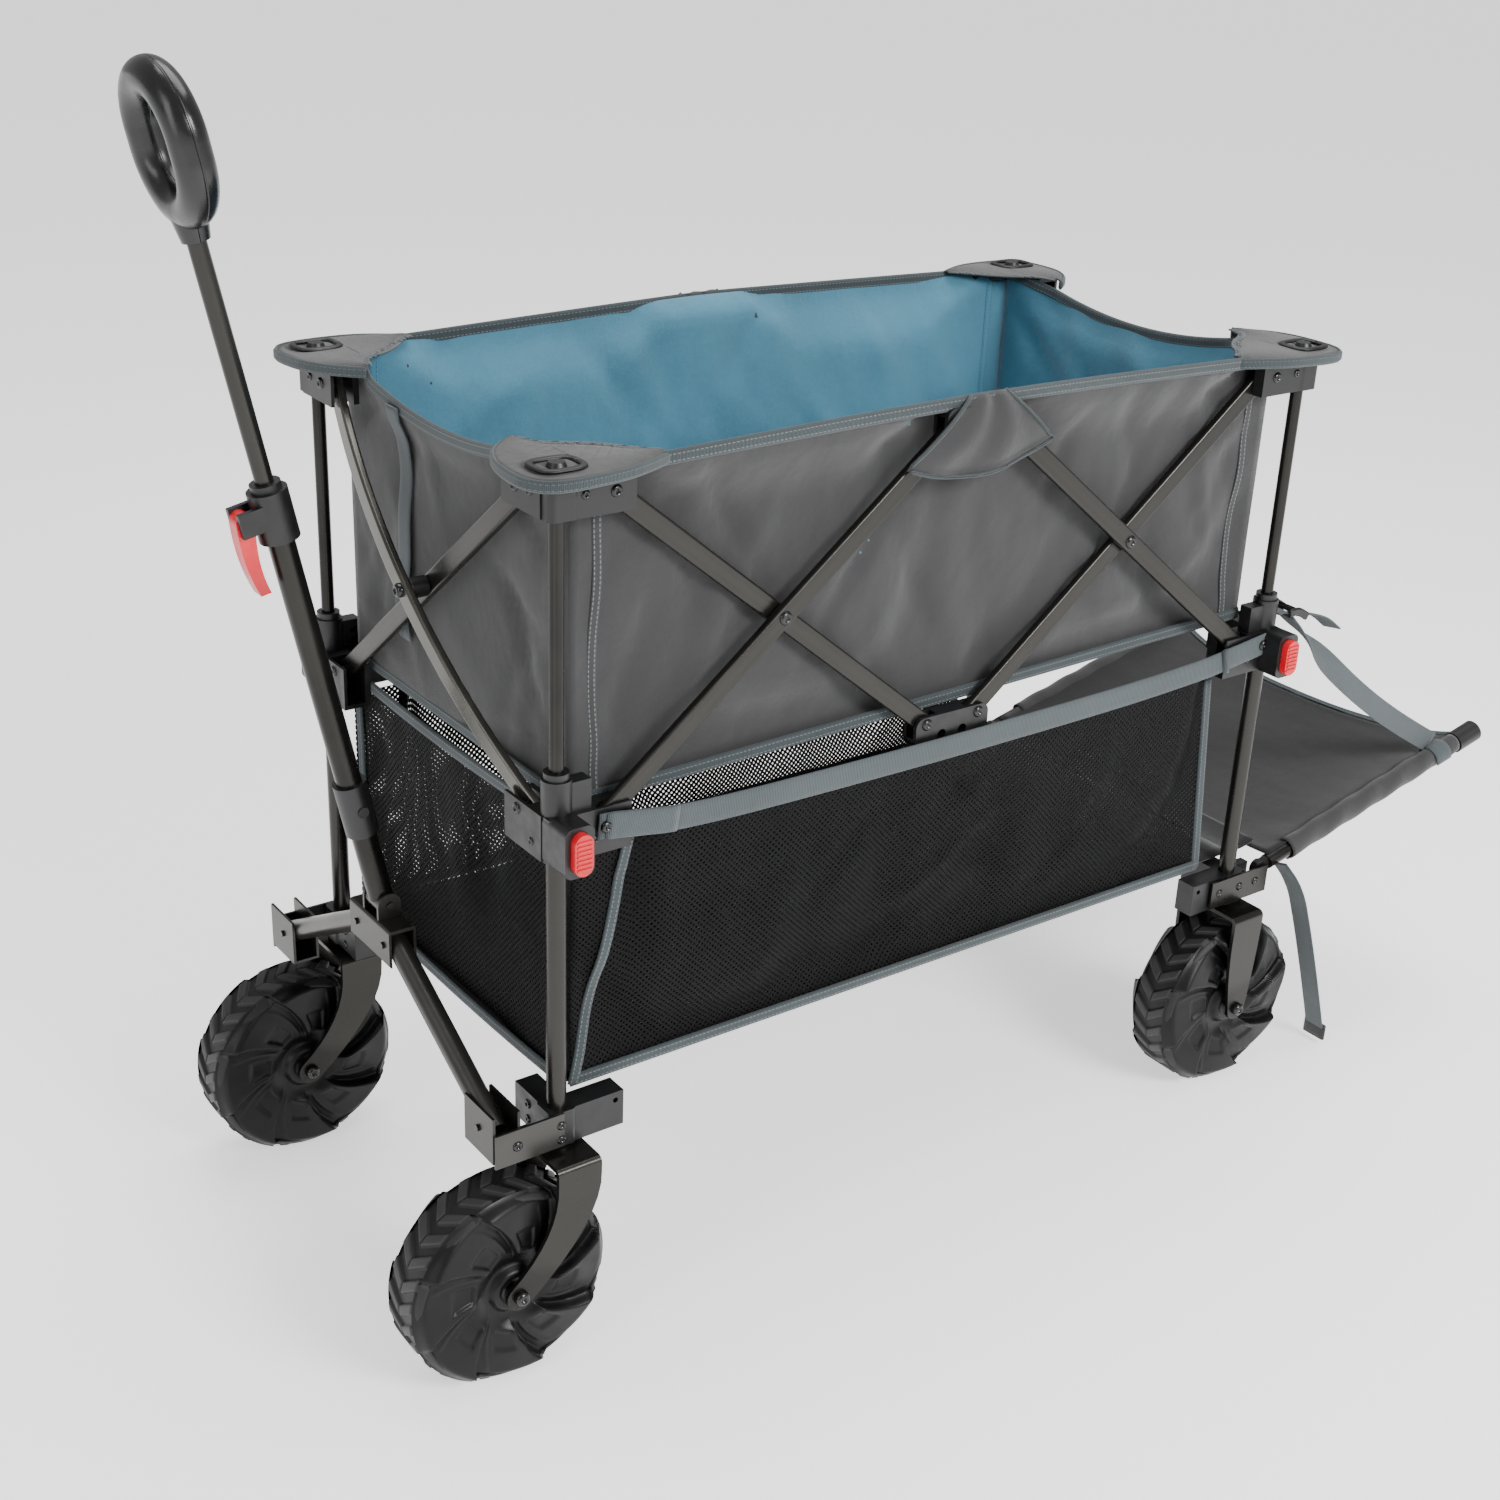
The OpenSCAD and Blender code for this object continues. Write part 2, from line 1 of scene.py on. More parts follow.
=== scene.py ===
import json
import math

import bpy
import numpy as np
from mathutils import Matrix, Vector


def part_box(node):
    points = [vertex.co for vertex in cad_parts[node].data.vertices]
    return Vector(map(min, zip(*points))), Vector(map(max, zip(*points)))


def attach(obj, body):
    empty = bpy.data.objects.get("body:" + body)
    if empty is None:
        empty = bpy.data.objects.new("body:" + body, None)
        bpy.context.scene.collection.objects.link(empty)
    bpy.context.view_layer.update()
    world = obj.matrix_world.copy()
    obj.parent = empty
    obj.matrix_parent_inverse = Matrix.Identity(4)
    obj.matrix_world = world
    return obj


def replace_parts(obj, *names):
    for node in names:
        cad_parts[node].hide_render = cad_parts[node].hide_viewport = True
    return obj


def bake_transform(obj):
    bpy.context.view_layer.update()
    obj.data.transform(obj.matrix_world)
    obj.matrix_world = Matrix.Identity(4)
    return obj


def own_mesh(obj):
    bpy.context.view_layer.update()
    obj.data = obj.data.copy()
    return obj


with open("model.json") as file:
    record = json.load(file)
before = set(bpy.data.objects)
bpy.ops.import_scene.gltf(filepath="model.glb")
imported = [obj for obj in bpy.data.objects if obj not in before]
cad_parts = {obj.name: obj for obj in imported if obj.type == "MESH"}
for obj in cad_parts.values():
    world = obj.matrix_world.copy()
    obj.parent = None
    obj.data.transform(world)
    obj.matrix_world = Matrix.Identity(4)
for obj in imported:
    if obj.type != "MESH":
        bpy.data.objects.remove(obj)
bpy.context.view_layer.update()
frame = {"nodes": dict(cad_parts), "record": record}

# Everything below is in metres about the middle of the four posts; SHIFT takes it to the CAD frame.
HX, HY = 0.408, 0.204            # half spacing of the posts
SHIFT = np.array([HX + sum(p[0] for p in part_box("lower_post_front_left")) / 2, 0, 0])
HIGH, LOW = 0.776, 0.508         # heights of the scissor pivots
ENDS = {"front": -1, "rear": 1}
SIDES = {"left": -1, "right": 1}
LEAN = math.radians(12.4)         # of the handle, from upright
HANDLE_FOOT = np.array([-HX - 0.055, 0, 0.3607925]) + SHIFT
HANDLE_WAY = (-math.sin(LEAN), 0, math.cos(LEAN))
SLEEVE = (0.0718, 0.1222)         # where the black sleeve starts and ends, up the handle
BASKET_X, BASKET_Y = 0.3865, 0.1865  # half length and width of the basket's walls
DECK_Z = 0.2505                   # bottom edge of the mesh walls
WHEEL_R, WHEEL_HALF = 0.094, 0.033
AHEAD = 0.058                     # from the front posts forward to the front axles
BINDING, WEBBING = 0.0115, 0.0235  # widths of the two tapes


# --- Camera, floor and light ---

def set_camera():
    az, el, roll = math.radians(-36.6104), math.radians(24.2879), math.radians(2.392)
    back = Vector((math.sin(az) * math.cos(el), -math.cos(az) * math.cos(el), math.sin(el)))
    right = Vector((math.cos(az), math.sin(az), 0))
    up = back.cross(right)
    x = math.cos(roll) * right + math.sin(roll) * up
    y = -math.sin(roll) * right + math.cos(roll) * up
    data = bpy.data.cameras.new("camera")
    data.lens, data.sensor_width = 50.705, 36
    cam = bpy.data.objects.new("camera", data)
    turned = Matrix((x, y, back)).transposed().to_4x4()
    cam.matrix_world = Matrix.Translation((-1.1776 + SHIFT[0], -1.4918, 1.2505)) @ turned
    bpy.context.scene.collection.objects.link(cam)
    bpy.context.scene.camera = cam


def area_light(name, place, target, size, power):
    data = bpy.data.lights.new(name, "AREA")
    data.shape, data.size, data.size_y, data.energy = "RECTANGLE", size[0], size[1], power
    light = bpy.data.objects.new(name, data)
    light.location = place
    light.rotation_euler = (Vector(target) - Vector(place)).to_track_quat("-Z", "Y").to_euler()
    bpy.context.scene.collection.objects.link(light)


# --- Materials ---

def srgb(text):
    parts = [int(text[i:i + 2], 16) / 255 for i in (0, 2, 4)]
    return [c / 12.92 if c <= 0.04045 else ((c + 0.055) / 1.055) ** 2.4 for c in parts]


class Finish:
    """A procedural material, built up a node at a time."""

    def __init__(self, name, rough=0.5, metallic=0.0, specular=0.5, sheen=0.0):
        self.mat = bpy.data.materials.new(name)
        self.mat.use_nodes = True
        self.tree = self.mat.node_tree
        self.bsdf = self.tree.nodes["Principled BSDF"]
        self.bsdf.inputs["Roughness"].default_value = rough
        self.bsdf.inputs["Metallic"].default_value = metallic
        self.bsdf.inputs["Specular IOR Level"].default_value = specular
        self.bsdf.inputs["Sheen Weight"].default_value = sheen
        coords = self.node("ShaderNodeTexCoord")
        self.object, self.uv = coords.outputs["Object"], coords.outputs["UV"]

    def node(self, kind, **settings):
        made = self.tree.nodes.new(kind)
        for key, value in settings.items():
            setattr(made, key, value)
        return made

    def put(self, socket, value):
        if isinstance(value, bpy.types.NodeSocket):
            self.tree.links.new(value, socket)
        elif hasattr(value, "__len__") and len(value) == 3 and socket.type == "RGBA":
            socket.default_value = [*value, 1]
        else:
            socket.default_value = value

    def math(self, op, a, b=0.0, clamp=False):
        made = self.node("ShaderNodeMath", operation=op, use_clamp=clamp)
        self.put(made.inputs[0], a)
        self.put(made.inputs[1], b)
        return made.outputs[0]

    def vector(self, op, a, b=(0, 0, 0)):
        made = self.node("ShaderNodeVectorMath", operation=op)
        self.put(made.inputs[0], a)
        self.put(made.inputs[1], b)
        return made.outputs["Value" if op in ("DOT_PRODUCT", "LENGTH") else "Vector"]

    def parts(self, vector):
        made = self.node("ShaderNodeSeparateXYZ")
        self.put(made.inputs[0], vector)
        return made.outputs

    def noise(self, scale, detail=3.0, source=None, rough=0.55):
        made = self.node("ShaderNodeTexNoise")
        self.put(made.inputs["Vector"], source or self.object)
        made.inputs["Scale"].default_value = scale
        made.inputs["Detail"].default_value = detail
        made.inputs["Roughness"].default_value = rough
        return made.outputs["Fac"]

    def between(self, value, low, high, a=0.0, b=1.0):
        made = self.node("ShaderNodeMapRange", clamp=True)
        self.put(made.inputs["Value"], value)
        for key, number in (("From Min", low), ("From Max", high), ("To Min", a), ("To Max", b)):
            made.inputs[key].default_value = number
        return made.outputs["Result"]

    def mix(self, factor, a, b):
        made = self.node("ShaderNodeMix", data_type="RGBA")
        self.put(made.inputs["Factor"], factor)
        self.put(made.inputs[6], a)
        self.put(made.inputs[7], b)
        return made.outputs[2]

    def wave(self, source, axis, period):
        """0 to 1 along one part of a vector, with that period in metres."""
        turned = self.math("MULTIPLY", self.parts(source)[axis], 2 * math.pi / period)
        return self.between(self.math("SINE", turned), -1, 1)

    def colour(self, value):
        self.put(self.bsdf.inputs["Base Color"], value)

    def rough(self, value):
        self.put(self.bsdf.inputs["Roughness"], value)

    def bump(self, *layers):
        """Layers of (height, depth in metres), the finest last."""
        normal = None
        for height, depth in layers:
            made = self.node("ShaderNodeBump")
            made.inputs["Strength"].default_value = 1
            made.inputs["Distance"].default_value = depth
            self.put(made.inputs["Height"], height)
            if normal is not None:
                self.put(made.inputs["Normal"], normal)
            normal = made.outputs["Normal"]
        self.put(self.bsdf.inputs["Normal"], normal)


def painted_metal(name, tone, rough, black=None):
    """Satin metal paint with fine flake. black takes the finish and gives a mask of its black parts."""
    f = Finish(name, rough, 0.85)
    cloud = f.noise(14, 4)
    flake = f.noise(2600, 1)
    light = [min(1, c * 1.28) for c in tone]
    dark = [c * 0.78 for c in tone]
    worn = f.node("ShaderNodeNewGeometry").outputs["Pointiness"]
    edge = f.between(worn, 0.53, 0.62, 0, 0.55)
    body = f.mix(f.between(cloud, 0.3, 0.7), dark, light)
    body = f.mix(f.between(flake, 0.55, 0.75, 0, 0.35), body, [c * 1.9 for c in tone])
    body = f.mix(edge, body, [min(1, c * 2.2) for c in tone])
    gloss = f.between(cloud, 0.25, 0.75, rough - 0.06, rough + 0.08)
    if black is not None:
        mask = black(f)
        body = f.mix(mask, body, BLACK)
        f.put(f.bsdf.inputs["Metallic"], f.math("MULTIPLY", f.math("SUBTRACT", 1.0, mask), 0.85))
        gloss = f.math("ADD", gloss, f.math("MULTIPLY", mask, 0.42 - rough))
    f.colour(body)
    f.rough(gloss)
    f.bump((cloud, 0.0002), (f.noise(900, 2), 0.00003))
    return f.mat


def plastic(name, tone, rough, grain=0.00006, seam=None):
    """Moulded plastic with a fine grain. seam takes the finish and gives the distance to a parting line."""
    f = Finish(name, rough, 0.0, 0.5)
    cloud = f.noise(22, 4)
    f.colour(f.mix(f.between(cloud, 0.3, 0.7), [c * 0.8 for c in tone], [c * 1.25 for c in tone]))
    f.rough(f.between(f.noise(60, 5), 0.3, 0.7, rough - 0.08, rough + 0.1))
    layers = [(cloud, 0.0003), (f.noise(1700, 3), grain)]
    if seam is not None:
        layers.insert(0, (f.between(seam(f), 0.0003, 0.0011), 0.0009))
    f.bump(*layers)
    return f.mat


def woven(name, tone, pitch=0.0011, crease=1.0, rough=0.82, stitch=None):
    """Plain-weave polyester on a UV in metres. stitch is (part of the UV, place, tone) of its rows."""
    f = Finish(name, rough, 0.0, 0.3, 0.25)
    over = f.math("MULTIPLY", f.wave(f.uv, 0, pitch), f.wave(f.uv, 1, pitch))
    under = f.math("MULTIPLY", f.wave(f.vector("ADD", f.uv, (pitch / 2, 0, 0)), 0, pitch),
                   f.wave(f.vector("ADD", f.uv, (0, pitch / 2, 0)), 1, pitch))
    weave = f.math("MAXIMUM", over, under)
    cloud = f.noise(9, 4)
    slub = f.noise(420, 2)
    body = f.mix(f.between(cloud, 0.3, 0.7), [c * 0.9 for c in tone], [min(1, c * 1.1) for c in tone])
    body = f.mix(f.between(slub, 0.4, 0.7, 0, 0.25), body, [min(1, c * 1.35) for c in tone])
    body = f.mix(f.between(weave, 0.0, 0.5, 0.3, 0), body, [c * 0.45 for c in tone])
    if stitch:
        body = stitches(f, body, *stitch)
    f.colour(body)
    turned = f.node("ShaderNodeMapping")
    turned.inputs["Rotation"].default_value = (0.5, 0.6, 0.3)
    turned.inputs["Scale"].default_value = (1, 0.35, 0.6)
    f.put(turned.inputs["Vector"], f.object)
    folds = f.noise(16, 2, turned.outputs[0], 0.4)
    f.bump((folds, 0.0065 * crease), (f.noise(85, 4), 0.0006 * crease), (weave, 0.00014))
    return f.mat


def stitches(f, body, part, place, tone, length=0.0042):
    """A row of thread dashes along a UV, at one place across it."""
    across = f.math("ABSOLUTE", f.math("SUBTRACT", f.math("ABSOLUTE", f.parts(f.uv)[part]), place))
    row = f.between(across, 0.0004, 0.0008, 1, 0)
    dash = f.between(f.wave(f.uv, 1 - part, length), 0.3, 0.42)
    return f.mix(f.math("MULTIPLY", row, dash), body, tone)


def ribbed(name, tone, rib=0.0017, stitch=None):
    """Webbing or binding tape: ribs across its length, on a UV of length and signed width in metres."""
    f = Finish(name, 0.75, 0.0, 0.35, 0.2)
    ribs = f.wave(f.uv, 0, rib)
    warp = f.wave(f.uv, 1, 0.0012)
    body = f.mix(f.between(f.noise(12, 4), 0.3, 0.7), [c * 0.88 for c in tone], [c * 1.14 for c in tone])
    body = f.mix(f.between(ribs, 0.0, 0.5, 0.45, 0), body, [c * 0.5 for c in tone])
    body = f.mix(f.between(f.noise(700, 2), 0.45, 0.7, 0, 0.2), body, [min(1, c * 1.5) for c in tone])
    if stitch:
        body = stitches(f, body, 1, *stitch)
    f.colour(body)
    f.bump((f.noise(50, 3), 0.0005), (ribs, 0.0003), (warp, 0.0001))
    return f.mat


def open_mesh(name, tone, pitch=0.0042, hole=0.285):
    """Knitted mesh with a staggered pattern of round holes, on a UV in metres."""
    f = Finish(name, 0.7, 0.0, 0.15)
    turned = f.node("ShaderNodeMapping")
    turned.inputs["Rotation"].default_value = (0, 0, math.radians(45))
    f.put(turned.inputs["Vector"], f.uv)
    cells = f.node("ShaderNodeTexVoronoi", voronoi_dimensions="2D")
    cells.inputs["Scale"].default_value = 1 / pitch
    cells.inputs["Randomness"].default_value = 0
    f.put(cells.inputs["Vector"], turned.outputs[0])
    away = cells.outputs["Distance"]
    f.colour(f.mix(f.between(f.noise(30, 4), 0.3, 0.7), tone, [c * 1.8 for c in tone]))
    f.put(f.bsdf.inputs["Alpha"], f.between(away, hole - 0.02, hole + 0.02))
    f.bump((f.noise(24, 3), 0.003), (away, 0.0005))
    return f.mat


BLACK = srgb("0b0b0c")
GREY, LINING, SLATE = srgb("313132"), srgb("44788e"), srgb("41494c")
THREAD = srgb("6c7376")


# --- Meshes ---

def new_piece(name, verts, faces, mats, body=None, uv=None, slots=None, smooth=True):
    """A mesh object from points about the posts' middle. uv holds one pair for each vertex."""
    mesh = bpy.data.meshes.new(name)
    mesh.from_pydata((np.asarray(verts, float) + SHIFT).tolist(), [], [list(f) for f in faces])
    for m in mats if isinstance(mats, (list, tuple)) else [mats]:
        mesh.materials.append(m)
    if slots is not None:
        mesh.polygons.foreach_set("material_index", slots)
    mesh.polygons.foreach_set("use_smooth", [smooth] * len(mesh.polygons))
    if uv is not None:
        layer = mesh.uv_layers.new(name="UVMap")
        corners = np.array([l.vertex_index for l in mesh.loops])
        layer.data.foreach_set("uv", np.asarray(uv, float)[corners].ravel())
    mesh.validate()
    mesh.update()
    obj = bpy.data.objects.new(name, mesh)
    bpy.context.scene.collection.objects.link(obj)
    if body:
        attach(obj, body)
    return obj


def grid_faces(n, m, start=0, wrap=False, flip=False):
    """Quads of an n by m grid of vertices; wrap joins the last row to the first."""
    faces = []
    for i in range(n if wrap else n - 1):
        for j in range(m - 1):
            a, b = start + i * m + j, start + ((i + 1) % n) * m + j
            quad = (a, b, b + 1, a + 1)
            faces.append(quad[::-1] if flip else quad)
    return faces


def grid_normals(g):
    normal = np.cross(np.gradient(g, axis=0), np.gradient(g, axis=1))
    return normal / np.maximum(np.linalg.norm(normal, axis=2, keepdims=True), 1e-12)


def arc_uv(g):
    """Distances along both ways of a grid, from its middle."""
    u = np.cumsum(np.r_[0, np.linalg.norm(np.diff(g.mean(1), axis=0), axis=1)])
    v = np.cumsum(np.r_[0, np.linalg.norm(np.diff(g.mean(0), axis=0), axis=1)])
    uu, vv = np.meshgrid(u - u[-1] / 2, v - v[-1] / 2, indexing="ij")
    return np.stack([uu, vv], 2).reshape(-1, 2)


def thick_sheet(name, g, thick, mats, body=None, uv=None):
    """A cloth of some thickness from a grid: its front is the side that the grid's normal points to."""
    n, m = g.shape[:2]
    normal = grid_normals(g)
    verts = np.concatenate([(g + way * normal * thick / 2).reshape(-1, 3) for way in (1, -1)])
    front, back = grid_faces(n, m), grid_faces(n, m, n * m, flip=True)
    edge = [i * m for i in range(n)] + [(n - 1) * m + j for j in range(1, m)]
    edge += [i * m + m - 1 for i in range(n - 2, -1, -1)] + [j for j in range(m - 2, 0, -1)]
    rim = [(a, a + n * m, b + n * m, b) for a, b in zip(edge, edge[1:] + edge[:1])]
    flat = arc_uv(g) if uv is None else uv
    mats = list(mats) if isinstance(mats, (list, tuple)) else [mats]
    slots = [0] * len(front) + [len(mats) - 1] * len(back) + [0] * len(rim)
    uv = np.concatenate([flat, flat])
    return new_piece(name, verts, front + back + rim, mats, body, uv, slots)


def smooth_path(points, step):
    """Evenly spaced points on a smooth curve through some points."""
    p = np.asarray(points, float)
    if len(p) > 2:
        e = np.concatenate([[2 * p[0] - p[1]], p, [2 * p[-1] - p[-2]]])
        t = np.linspace(0, 1, 24, endpoint=False)[:, None]
        runs = []
        for a, b, c, d in zip(e, e[1:], e[2:], e[3:]):
            runs.append(0.5 * (2 * b + (c - a) * t + (2 * a - 5 * b + 4 * c - d) * t ** 2
                               + (3 * b - a - 3 * c + d) * t ** 3))
        p = np.concatenate([*runs, p[-1:]])
    s = np.r_[0, np.cumsum(np.linalg.norm(np.diff(p, axis=0), axis=1))]
    at = np.linspace(0, s[-1], max(2, int(round(s[-1] / step)) + 1))
    return np.stack([np.interp(at, s, p[:, k]) for k in range(3)], 1)


def tape(name, path, across, width, thick, mat, body=None):
    """A flat tape along a path. across is the way its width lies, one vector or one for each point."""
    path = np.asarray(path, float)
    along = np.gradient(path, axis=0)
    along /= np.linalg.norm(along, axis=1, keepdims=True)
    w = np.broadcast_to(np.asarray(across, float), path.shape)
    w = w - along * np.sum(w * along, axis=1, keepdims=True)
    w = w / np.linalg.norm(w, axis=1, keepdims=True)
    out = np.cross(along, w)
    r = thick * 0.45
    section = [(-0.5, -0.15), (-0.5, 0.15), (-0.5, 0.5), (-0.25, 0.5), (0, 0.5), (0.25, 0.5), (0.5, 0.5),
               (0.5, 0.15), (0.5, -0.15), (0.5, -0.5), (0.25, -0.5), (0, -0.5), (-0.25, -0.5), (-0.5, -0.5)]
    rings, uv = [], []
    s = np.r_[0, np.cumsum(np.linalg.norm(np.diff(path, axis=0), axis=1))]
    for a, b in section:
        corner = abs(a) == 0.5 and abs(b) == 0.5
        rings.append(path + w * (a * width - (math.copysign(r, a) if corner else 0)) + out * b * thick)
        uv.append(np.stack([s, np.full_like(s, a * width)], 1))
    k = len(section)
    verts = np.stack(rings, 1).reshape(-1, 3)
    flat = np.stack(uv, 1).reshape(-1, 2)
    faces = [(i * k + j, i * k + (j + 1) % k, (i + 1) * k + (j + 1) % k, (i + 1) * k + j)
             for i in range(len(path) - 1) for j in range(k)]
    faces += [tuple(range(k - 1, -1, -1)), tuple(range((len(path) - 1) * k, len(path) * k))]
    return new_piece(name, verts, faces, mat, body, flat)


def lathe(profile, n=24):
    """Vertices and faces of a solid turned about +Z from (radius, height) pairs."""
    verts, faces, m = [], [], len(profile)
    for i in range(n):
        a = 2 * math.pi * i / n
        verts += [(r * math.cos(a), r * math.sin(a), z) for r, z in profile]
    faces += grid_faces(n, m, wrap=True)
    return verts, faces


def screws(name, places, mat, body):
    """Domed screw heads with a sunk round socket, as one piece. places are (point, way out, radius)."""
    verts, faces = [], []
    for point, way, r in places:
        profile = [(r * 0.01, -0.03 * r), (r * 0.36, 0.0), (r * 0.46, 0.42 * r), (r * 0.7, 0.36 * r),
                   (r * 0.9, 0.2 * r), (r, 0.02 * r), (r, -0.4 * r)]
        v, f = lathe(profile, 18)
        turn = Vector((0, 0, 1)).rotation_difference(Vector(way)).to_matrix()
        faces += [tuple(i + len(verts) for i in q) for q in f]
        verts += [tuple(turn @ Vector(p) + Vector(point)) for p in v]
    return new_piece(name, verts, faces, mat, body)


def simulate(g, pinned, grow=0.02, frames=24, seed=1, limit=0.012, pull=1.0):
    """Hangs a grid of cloth by its pinned points and gives where it lies, moved by limit at most."""
    n, m = g.shape[:2]
    rng = np.random.default_rng(seed)
    normal = grid_normals(g)
    start = g + normal * rng.normal(0, 0.0006, (n, m, 1)) * ~pinned[..., None]
    mesh = bpy.data.meshes.new("cloth")
    mesh.from_pydata(start.reshape(-1, 3).tolist(), [], grid_faces(n, m))
    obj = bpy.data.objects.new("cloth", mesh)
    bpy.context.scene.collection.objects.link(obj)
    group = obj.vertex_groups.new(name="pin")
    group.add([int(i) for i in np.flatnonzero(pinned.ravel())], 1.0, "REPLACE")
    cloth = obj.modifiers.new("Cloth", "CLOTH")
    s = cloth.settings
    s.vertex_group_mass, s.shrink_min, s.quality, s.mass = "pin", -grow, 6, 0.25
    s.tension_stiffness = s.compression_stiffness = 22
    s.shear_stiffness, s.bending_stiffness, s.air_damping = 8, 2.5, 4
    s.effector_weights.gravity = pull
    cloth.point_cache.frame_end = frames
    for k in range(1, frames + 1):
        bpy.context.scene.frame_set(k)
    posed = obj.evaluated_get(bpy.context.evaluated_depsgraph_get())
    co = np.zeros(n * m * 3)
    posed.data.vertices.foreach_get("co", co)
    bpy.data.objects.remove(obj)
    bpy.context.scene.frame_set(1)
    move = co.reshape(n, m, 3) - g
    for _ in range(7):
        near = (move[:-2, 1:-1] + move[2:, 1:-1] + move[1:-1, :-2] + move[1:-1, 2:]) / 4
        move[1:-1, 1:-1] = move[1:-1, 1:-1] * 0.4 + near * 0.6
    move[pinned] = 0
    size = np.linalg.norm(move, axis=2, keepdims=True)
    return g + move * np.tanh(size / limit) * limit / np.maximum(size, 1e-9)


def creases(g, axis, seed, count, size=0.0065):
    """Presses short straight creases, in and out, into a hung cloth that faces along an axis."""
    rng = np.random.default_rng(seed)
    along, up = g[..., 1 - axis], g[..., 2]
    move = np.zeros(up.shape)
    for _ in range(count):
        at, lift = (rng.uniform(v.min() + 0.03, v.max() - 0.03) for v in (along, up))
        turn = rng.uniform(0.25, 1.15) * rng.choice([-1, 1])
        length, width = rng.uniform(0.035, 0.10), rng.uniform(0.008, 0.014)
        a, b = along - at, up - lift
        line, off = a * math.sin(turn) + b * math.cos(turn), a * math.cos(turn) - b * math.sin(turn)
        high = size * rng.uniform(0.4, 1) * rng.choice([-1, 1])
        move += high * np.exp(-(off / width) ** 2 - (line / length) ** 2)
    u, v = (np.linspace(0, 1, k) for k in move.shape)
    fade = np.minimum(1, 12 * u * (1 - u))[:, None] * np.minimum(1, 9 * v * (1 - v))[None]
    g = g.copy()
    g[..., axis] += move * fade
    return g


def step(x):
    x = np.clip(x, 0, 1)
    return x * x * (3 - 2 * x)


# --- Soft goods ---

def side_rim(x):
    """Height of the basket's rim along a long side: highest over the middle bracket."""
    return 0.8035 - 0.0075 * np.clip(np.abs(x) / 0.33, 0, 1) ** 1.3


def end_rim(y):
    return 0.797 - 0.023 * (1 - np.clip(np.abs(y) / 0.16, 0, 1) ** 2)


def basket_bottom(x):
    return 0.517 + 0.009 * x / HX


def deck_bottom(x):
    return 0.2512 + 0 * x


def basket_side(s):
    """A long wall of the basket: its rim is pulled out over the bars, and it falls inside them."""
    x = np.linspace(-BASKET_X, BASKET_X, 97)
    t = np.r_[0, 0.012, 0.028, np.linspace(0.05, 1, 30)]
    xx, tt = np.meshgrid(x, t, indexing="ij")
    top, low = side_rim(xx), basket_bottom(xx)
    z = top + (low - top) * tt
    deep = top - z
    a = np.abs(xx)
    out = 0.0240 * step((0.372 - a) / 0.05) + 0.002 * np.exp(-(a / 0.09) ** 2)
    reach = 0.012 + np.clip(np.minimum(a - 0.05, 0.335 - a) * 0.75, 0, 0.05)
    y = -BASKET_Y - out * (1 - step(deep / reach))
    g = np.stack([xx, y, z], 2)
    pinned = np.zeros(xx.shape, bool)
    pinned[:, :3] = pinned[:, -1] = pinned[0] = pinned[-1] = True
    g = simulate(g, pinned, grow=0.03, seed=3 + s, limit=0.011)
    g[..., 1] = np.minimum(np.maximum(g[..., 1], y - 0.0015), y + 0.02)
    g = creases(g, 1, 50 + s, 30)
    g[..., 1] = np.maximum(g[..., 1], y - 0.006)
    return g[::-1] if s < 0 else g * np.array([1, -1, 1])


def basket_end(e):
    y = np.linspace(-BASKET_Y, BASKET_Y, 47)
    t = np.r_[0, 0.012, 0.028, np.linspace(0.05, 1, 30)]
    yy, tt = np.meshgrid(y, t, indexing="ij")
    top = end_rim(yy)
    low = basket_bottom(e * BASKET_X) + 0 * yy
    z = top + (low - top) * tt
    out = 0.011 * step((0.165 - np.abs(yy)) / 0.05)
    x = -BASKET_X - out * (1 - step((top - z) / 0.035))
    g = np.stack([x, yy, z], 2)
    pinned = np.zeros(yy.shape, bool)
    pinned[:, :3] = pinned[:, -1] = pinned[0] = pinned[-1] = True
    g = simulate(g, pinned, grow=0.03, seed=11 + e, limit=0.009)
    g[..., 0] = np.minimum(np.maximum(g[..., 0], x - 0.0015), x + 0.018)
    g = creases(g, 0, 60 + e, 14)
    g[..., 0] = np.maximum(g[..., 0], x - 0.006)
    return g if e < 0 else g[::-1] * np.array([-1, 1, 1])


def fold_along(obj):
    """Gives a piece that rides with the frame its own copy of its mesh data."""
    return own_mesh(obj)


# Edges of a corner ear: how far in from the post, along the cart and across it
EAR_IN = [(0.090, -0.001), (0.075, 0.012), (0.060, 0.030), (0.045, 0.043), (0.029, 0.052),
          (0.017, 0.062), (0.0105, 0.080)]
EAR_OUT = [(0.094, -0.0065), (0.072, -0.018), (0.048, -0.027), (0.020, -0.031), (-0.008, -0.031),
           (-0.024, -0.025), (-0.033, -0.010), (-0.034, 0.012), (-0.030, 0.038), (-0.018, 0.062),
           (-0.002, 0.078), (0.0065, 0.084)]


